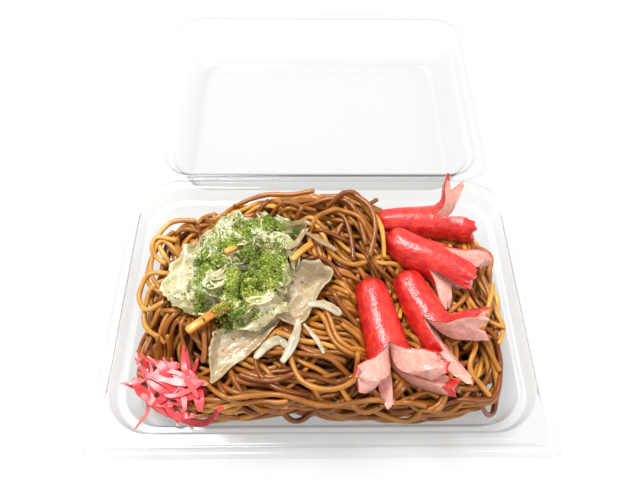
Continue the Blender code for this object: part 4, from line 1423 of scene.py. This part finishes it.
def build_shreds(surface, material):
    """Small crumpled bands of cabbage, heaped on the leaves."""
    rng = np.random.default_rng(8)
    rest = blurred(spread_extreme(surface.height, 1.6 * MM, np.maximum), 3)
    bundle = Bundle()
    faces = shred_faces()
    folds = []
    for _ in range(SHREDS):
        angle = rng.uniform(0, 2 * math.pi)
        away = math.sqrt(rng.random())
        middle = np.array(SHRED_MIDDLE) + away * np.array(SHRED_REACH) * (
            math.cos(angle), math.sin(angle))
        heading = rng.uniform(0, math.pi)
        ahead = np.array((math.cos(heading), math.sin(heading)))
        beside = np.array((-ahead[1], ahead[0]))
        length, width = rng.uniform(*SHRED_LENGTHS), rng.uniform(*SHRED_WIDTHS)
        bow = rng.normal(0, 2.5)
        curl = rng.uniform(0.6, 2.2) * rng.choice((-1, 1))
        phase = rng.uniform(0, 50)
        top = []
        rise = []
        for u in np.linspace(-1, 1, SHRED_ROWS):
            end = math.sqrt(max(0.0, 1 - abs(u) ** 3.5))
            for v in np.linspace(-1, 1, SHRED_COLUMNS):
                frill = 1 + 0.16 * wave(2.2 * u, 1.5 * v, phase)
                place = middle + ahead * (u * length / 2 * (1 + 0.12 * wave(2 * v, phase, 3))) \
                    + beside * (v * width / 2 * end * frill + bow * (1 - u * u))
                ridge = 1 - 2.2 * abs(wave(1.7 * u, 1.2 * v, phase + 7))
                small = wave(4.5 * u, 3.0 * v, phase + 20)
                lift = 0.9 + curl * (v * v - 0.4) + 1.5 * ridge * ridge + 0.6 * small
                top.append((*place, lift))
                # the rise also sets the painted shade of the shred's low parts
                rise.append(0.6 * ridge ** 2 + 0.5 * small)
        top = np.array(top) * MM
        floor = between_cells(surface, rest, top[:, :2])
        bed = 0.6 * floor + 0.4 * np.percentile(floor, 75)
        top[:, 2] = under_lid(np.maximum(top[:, 2] + bed, floor - 0.6 * MM))
        under = top - (0, 0, SHRED_THICKNESS)
        i, j = surface.nearest(top[:, :2])
        np.maximum.at(surface.height, (i, j), top[:, 2])
        np.maximum.at(rest, (i, j), top[:, 2] - 1.1 * MM)
        points = np.concatenate([top, under])
        bundle.add(points, faces, points + rng.uniform(0, 0.4, 3),
                   float(np.clip(rng.normal(0.36, 0.4), 0, 1)))
        folds += rise + rise
    belongs(bundle.piece("cabbage_shreds", material, {"fold": np.array(folds)}),
            "base")


def build_leaf(surface, name, recipe, seed, material):
    """One leaf, laid on what is there so far."""
    green, crinkle, folds, outline = recipe
    torn = ONION_TORN if name in ONION_LEAVES else CABBAGE_TORN
    points, faces, fold = leaf_points(surface, outline, crinkle, folds, torn, seed)
    piece = new_mesh(name + "_fine", points, faces, material,
                     {"grain": points + seed * 0.1, "shade": np.full(len(points), green),
                      "fold": fold})
    wall = piece.modifiers.new("wall", "SOLIDIFY")
    wall.thickness = LEAF_THICKNESS
    wall.offset = 0
    belongs(piece, "base", name)


# ---------------------------------------------------------------- strips and batons
def strip_material():
    """Soft and half clear: the onion strips soaked in sauce, the sprouts clean."""
    material, tree, shader = principled(
        "onion_and_sprout", IOR=1.4, Alpha=0.68, Subsurface_Weight=0.5,
        Subsurface_Radius=(1.0, 0.9, 0.6), Subsurface_Scale=1.5 * MM, Coat_Weight=0.5,
        Coat_Roughness=0.12)
    grain = attribute(tree, "grain", "Vector")
    streak = noise_of(tree, grain, 380, 4, 0.65, (1, 1, 0.3))
    sauced = ramp(tree, streak, [(0.25, (0.30, 0.15, 0.05)), (0.7, (0.55, 0.38, 0.20))])
    clean = ramp(tree, streak, [(0.3, (0.38, 0.28, 0.14)), (0.6, (0.72, 0.66, 0.50))])
    colour = mixed(tree, attribute(tree, "shade"), sauced, clean)
    dress(tree, shader, colour, streak, 0.25, 0.45, 0.2 * MM)
    return material


def carrot_material():
    """Boiled carrot, with its fibres along the baton."""
    material, tree, shader = principled(
        "carrot", IOR=1.4, Subsurface_Weight=0.3, Subsurface_Radius=(1.0, 0.4, 0.1),
        Subsurface_Scale=1.5 * MM, Coat_Weight=0.2, Coat_Roughness=0.2)
    grain = attribute(tree, "grain", "Vector")
    streak = noise_of(tree, grain, 500, 3, 0.6, (1, 1, 0.2))
    colour = ramp(tree, streak, [(0.3, (0.55, 0.17, 0.015)), (0.7, (0.80, 0.36, 0.05))])
    dress(tree, shader, colour, streak, 0.3, 0.5, 0.25 * MM)
    return material


def lie_on(surface, path, radius, rounds=10):
    """A path in the plane given the heights at which it lies on the surface."""
    floor = surface.support(path, radius)
    heights = smoothed(settle(floor, rounds, 0.01 * MM), 4)
    return np.column_stack([path, np.maximum(heights, floor - 0.3 * MM)])


def arc_through(corners):
    """A quadratic curve through three corners in mm, as evenly spaced points."""
    a, b, c = (np.array(corner) * MM for corner in corners)
    handle = 2 * b - (a + c) / 2
    t = np.linspace(0, 1, 40)[:, None]
    return spaced((1 - t) ** 2 * a + 2 * t * (1 - t) * handle + t * t * c, ARC_STEP)


def build_strips(surface):
    """The onion strips and sprouts, thickest past the middle."""
    material = strip_material()
    for name, (corners, radius) in STRIPS.items():
        line = lie_on(surface, arc_through(corners), radius * MM * 0.8)
        shares = np.linspace(0, 1, len(line))
        radii = radius * MM * (0.35 + 0.7 * np.sin(np.pi * (0.1 + 0.75 * shares)))
        surface.lay(line, radius * MM)
        knobs = [1 + 0.3 * wave(5 * share, radius, len(line)) for share in shares]
        points, faces, grain = tube(line, radii * knobs, 14, flatness=STRIP_FLATNESS)
        slot, pale = ("onion", 0.15) if name.startswith("onion") else ("sprout", 1.0)
        piece = new_mesh(name + "_fine", points, faces, material,
                         {"grain": grain, "shade": np.full(len(points), pale)})
        belongs(piece, "base", name)


def build_carrots(surface):
    """The carrot batons, slightly bowed and with rounded edges."""
    material = carrot_material()
    for name, (start, end, width, height) in CARROTS.items():
        a, b = np.array(start), np.array(end)
        across = np.array((a[1] - b[1], b[0] - a[0])) * 0.03
        line = lie_on(surface, arc_through((a, (a + b) / 2 + across, b)),
                      width / 2 * MM, 60)
        line[:, 2] = under_lid(line[:, 2])
        surface.lay(line, width / 2 * MM)
        radii = np.full(len(line), width / 2 * MM)
        points, faces, grain = tube(line, radii, 20, flatness=height / width,
                                    squareness=-0.14)
        piece = new_mesh(name + "_fine", points, faces, material, {"grain": grain})
        belongs(piece, "base", name)


# ---------------------------------------------------------------- ginger
def ginger_material():
    """Dyed pink to red, each strip in its own tone, with pale fibres."""
    material, tree, shader = principled(
        "red_ginger", IOR=1.42, Alpha=0.85, Subsurface_Weight=0.3,
        Subsurface_Radius=(1.0, 0.25, 0.3), Subsurface_Scale=1.8 * MM, Coat_Weight=0.3,
        Coat_Roughness=0.2)
    grain = attribute(tree, "grain", "Vector")
    shade = attribute(tree, "shade")
    streak = noise_of(tree, grain, 600, 3, 0.6, (1, 1, 0.15))
    tint = ramp(tree, shade, [(0.0, (0.62, 0.016, 0.024)), (0.4, (0.72, 0.045, 0.060)),
                              (0.75, (0.78, 0.10, 0.11)), (1.0, (0.82, 0.24, 0.23))])
    colour = mixed(tree, level(tree, streak, -0.3, 0.4), tint, (0.84, 0.26, 0.25))
    dress(tree, shader, colour, streak, 0.25, 0.45, 0.2 * MM)
    return material


def build_ginger(surface):
    """Pickled ginger in strips, piled up to the heap's outline in the corner."""
    rng = np.random.default_rng(5)
    low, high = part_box("ginger_heap")
    target = top_of(surface, "ginger_heap") - GINGER_LOWER
    bundle = Bundle()

    def add_strip(line, radius, shade):
        surface.lay(line, radius * 0.35)
        shares = np.linspace(0, 1, len(line))
        ragged = [1 + 0.18 * wave(6 * share, 9 * shade, radius / MM) for share in shares]
        radii = radius * (0.22 + 0.8 * np.sin(np.pi * (0.06 + 0.88 * shares)) ** 0.7) * ragged
        points, faces, grain = tube(line, radii, 8, flatness=GINGER_FLATNESS,
                                    squareness=-0.12)
        bundle.add(points, faces, grain + rng.uniform(0, 0.5, 3), shade)

    middle = np.array(((low.x + high.x) / 2, (low.y + high.y) / 2))
    for _ in range(GINGER_STRIPS):
        lack = np.maximum(target - surface.height - 0.2 * MM, 0) ** 1.3
        if lack.sum() == 0:
            break
        best = None
        for cell in rng.choice(lack.size, 4, p=lack.ravel() / lack.sum()):
            i, j = divmod(int(cell), surface.size[1])
            start = np.array((surface.xs[i], surface.ys[j]))
            length = rng.uniform(*GINGER_LENGTHS) * MM
            heading = rng.normal(*GINGER_LAY)
            curl = rng.normal(0, 0.030) / MM
            places = np.arange(-length / 2, length / 2, GINGER_STEP)
            sway = heading + curl * places + 0.25 * np.sin(places / (4 * MM) + heading)
            steps = np.column_stack([np.cos(sway), np.sin(sway)])
            path = start + np.cumsum(steps, axis=0) * GINGER_STEP
            path -= path[len(path) // 2] - start
            stray = np.linalg.norm((path - middle) / GINGER_REACH, axis=1).max()
            radius = GINGER_RADIUS * rng.uniform(0.75, 1.25)
            line = lie_on(surface, path, radius)
            limit = surface.sample(target, path)
            score = np.maximum(line[:, 2] - limit, 0).mean() + 3 * MM * max(0.0, stray - 1.0)
            if best is None or score < best[0]:
                best = (score, line, radius)
        add_strip(best[1], best[2], float(rng.random()))
    for corners, half_width, shade in GINGER_BANDS:
        radius = half_width * BAND_WIDENING * MM
        line = lie_on(surface, arc_through(corners), radius * 0.3, 30)
        sway = rng.uniform(0, 6)
        line[:, 1] += 0.5 * MM * np.sin(np.arange(len(line)) / 3.2 + sway)
        add_strip(line, radius, shade)
    piece = bundle.piece("ginger_strips", ginger_material())
    piece.data.set_sharp_from_angle(angle=math.radians(GINGER_EDGE_ANGLE))
    belongs(piece, "base", "ginger_heap")


# ---------------------------------------------------------------- green flakes
def flake_material():
    """Dry laver, from brown and dark green to yellow green; the darker greens are partly painted
    shade.
    """
    material, tree, shader = principled("green_laver", Roughness=0.6)
    shade = attribute(tree, "shade")
    grain = attribute(tree, "grain", "Vector")
    spots = noise_of(tree, grain, 900, 2)
    tint = ramp(tree, shade, [(0.0, (0.42, 0.27, 0.08)), (0.07, (0.05, 0.13, 0.010)),
                              (0.35, (0.22, 0.34, 0.02)), (0.7, (0.48, 0.54, 0.055)),
                              (1.0, (0.70, 0.70, 0.20))])
    tree.links.new(mixed(tree, level(tree, spots, -0.1, 0.4), tint, (0.09, 0.18, 0.015)),
                   shader.inputs["Base Color"])
    return material


def build_flakes(surface):
    """Thin torn flakes strewn in loose tufts on whatever lies on top."""
    rng = np.random.default_rng(21)
    bundle = Bundle()
    spots = []
    for (x, y), (reach_x, reach_y), tufts, light in FLAKE_PATCHES:
        for _ in range(tufts):
            tuft = (rng.normal(x, reach_x * 0.55), rng.normal(y, reach_y * 0.55))
            # each tuft's lightness is partly its own tone and partly painted shade
            own = rng.normal(light, 0.14)
            for _ in range(int(TUFT_FLAKES * rng.uniform(0.5, 1.5))):
                spots.append((*rng.normal(tuft, TUFT_REACH * 0.5), rng.normal(own, 0.18)))
    for _ in range(STRAY_FLAKES):
        (x, y), (reach_x, reach_y) = FLAKE_PATCHES[rng.integers(len(FLAKE_PATCHES))][:2]
        spots.append((rng.normal(x, reach_x), rng.normal(y, reach_y), rng.normal(0.4, 0.25)))
    for x, y, shade in spots:
        place = np.array((x, y)) * MM
        size = rng.uniform(*FLAKE_SIZES) * MM
        corners = int(rng.integers(4, 7))
        turns = np.sort(rng.uniform(0, 2 * math.pi, corners))
        reach = size * rng.uniform(0.5, 1.2, corners)
        rim = np.column_stack([reach * np.cos(turns), reach * np.sin(turns) * 0.7,
                               rng.normal(0, 0.25, corners) * size])
        flake = np.concatenate([rim, [(0, 0, FLAKE_THICKNESS), (0, 0, -FLAKE_THICKNESS)]])
        tilt = Matrix.Rotation(rng.normal(0, FLAKE_TILT), 3, "X") \
            @ Matrix.Rotation(rng.normal(0, FLAKE_TILT), 3, "Y") \
            @ Matrix.Rotation(rng.uniform(0, 6.28), 3, "Z")
        rest = between_cells(surface, surface.height, place[None])
        height = under_lid(rest)[0] + 0.25 * size
        i, j = surface.nearest(place)
        surface.height[i, j] += FLAKE_PILING * size
        points = flake @ np.array(tilt).T + (*place, height)
        faces = []
        for k in range(corners):
            after = (k + 1) % corners
            faces.append((k, after, corners))
            faces.append((after, k, corners + 1))
        bundle.add(points, faces, points, min(1.0, max(0.0, shade)))
    belongs(bundle.piece("laver_flakes", flake_material()), "base")


# ---------------------------------------------------------------- the stage
def build_stage():
    """The pale floor, the even light all round and two soft lamps."""
    scene = bpy.context.scene
    scene.view_settings.view_transform = "Standard"
    bpy.ops.mesh.primitive_plane_add(size=6)
    floor = bpy.context.object
    floor.name = "floor"
    floor.data.materials.append(principled(
        "floor", Roughness=0.9, Base_Color=(*FLOOR_COLOUR, 1),
        Emission_Color=(1, 1, 1, 1), Emission_Strength=FLOOR_GLOW)[0])
    world = bpy.data.worlds.new("studio")
    world.use_nodes = True
    background = world.node_tree.nodes["Background"]
    background.inputs["Color"].default_value = (1, 1, 1, 1)
    background.inputs["Strength"].default_value = WORLD_STRENGTH
    scene.world = world
    for name, (place, size, power) in LAMPS.items():
        add_lamp(name, place, size, power)


def add_lamp(name, place, size, power):
    lamp = bpy.data.lights.new(name, "AREA")
    lamp.size = size
    lamp.energy = power
    holder = bpy.data.objects.new(name, lamp)
    holder.location = place
    aim = Vector(LAMP_TARGET) - Vector(place)
    holder.rotation_euler = aim.to_track_quat("-Z", "Y").to_euler()
    bpy.context.scene.collection.objects.link(holder)


def build_camera():
    """The camera, turned by its pitch, yaw and roll."""
    camera = bpy.data.objects.new("camera", bpy.data.cameras.new("camera"))
    camera.data.lens = CAMERA_LENS
    camera.data.sensor_width = 36
    pitch, yaw, roll = (math.radians(a) for a in (CAMERA_PITCH, CAMERA_YAW, CAMERA_ROLL))
    ahead = Vector((math.sin(yaw) * math.cos(pitch), math.cos(yaw) * math.cos(pitch),
                    -math.sin(pitch)))
    right = ahead.cross(Vector((0, 0, 1))).normalized()
    up = right.cross(ahead)
    tilted_right = right * math.cos(roll) + up * math.sin(roll)
    tilted_up = up * math.cos(roll) - right * math.sin(roll)
    turn = Matrix((tilted_right, tilted_up, -ahead)).transposed()
    camera.matrix_world = Matrix.Translation(CAMERA_PLACE) @ turn.to_4x4()
    camera.data.clip_start = 0.01
    camera.data.clip_end = 20
    bpy.context.scene.collection.objects.link(camera)
    bpy.context.scene.camera = camera


build_camera()
build_stage()
build_pack()
skin = wiener_material()
wieners = [build_wiener(wiener, recipe, number + 1.5, skin)
           for number, (wiener, recipe) in enumerate(WIENERS.items())]
surface = build_noodles(wieners)
# The colour after the stops of each is the painted shade for the low parts of the folds.
cabbage = leaf_material("cabbage", [
    (0.0, (0.72, 0.61, 0.40)), (0.3, (0.71, 0.64, 0.39)), (0.6, (0.54, 0.57, 0.21)),
    (1.0, (0.21, 0.36, 0.05))], (0.46, 0.44, 0.17), 1.0, 0.35)
onion = leaf_material("leaf_onion", [
    (0.0, (0.58, 0.43, 0.25)), (0.3, (0.74, 0.61, 0.40)), (0.6, (0.83, 0.75, 0.54)),
    (1.0, (0.88, 0.83, 0.66))], (0.76, 0.64, 0.44), 0.7, 0.25)
for number, (leaf, recipe) in enumerate(LEAVES.items()):
    build_leaf(surface, leaf, recipe, number + 0.5, onion if leaf in ONION_LEAVES else cabbage)
build_shreds(surface, cabbage)
build_strips(surface)
build_carrots(surface)
build_ginger(surface)
build_flakes(surface)
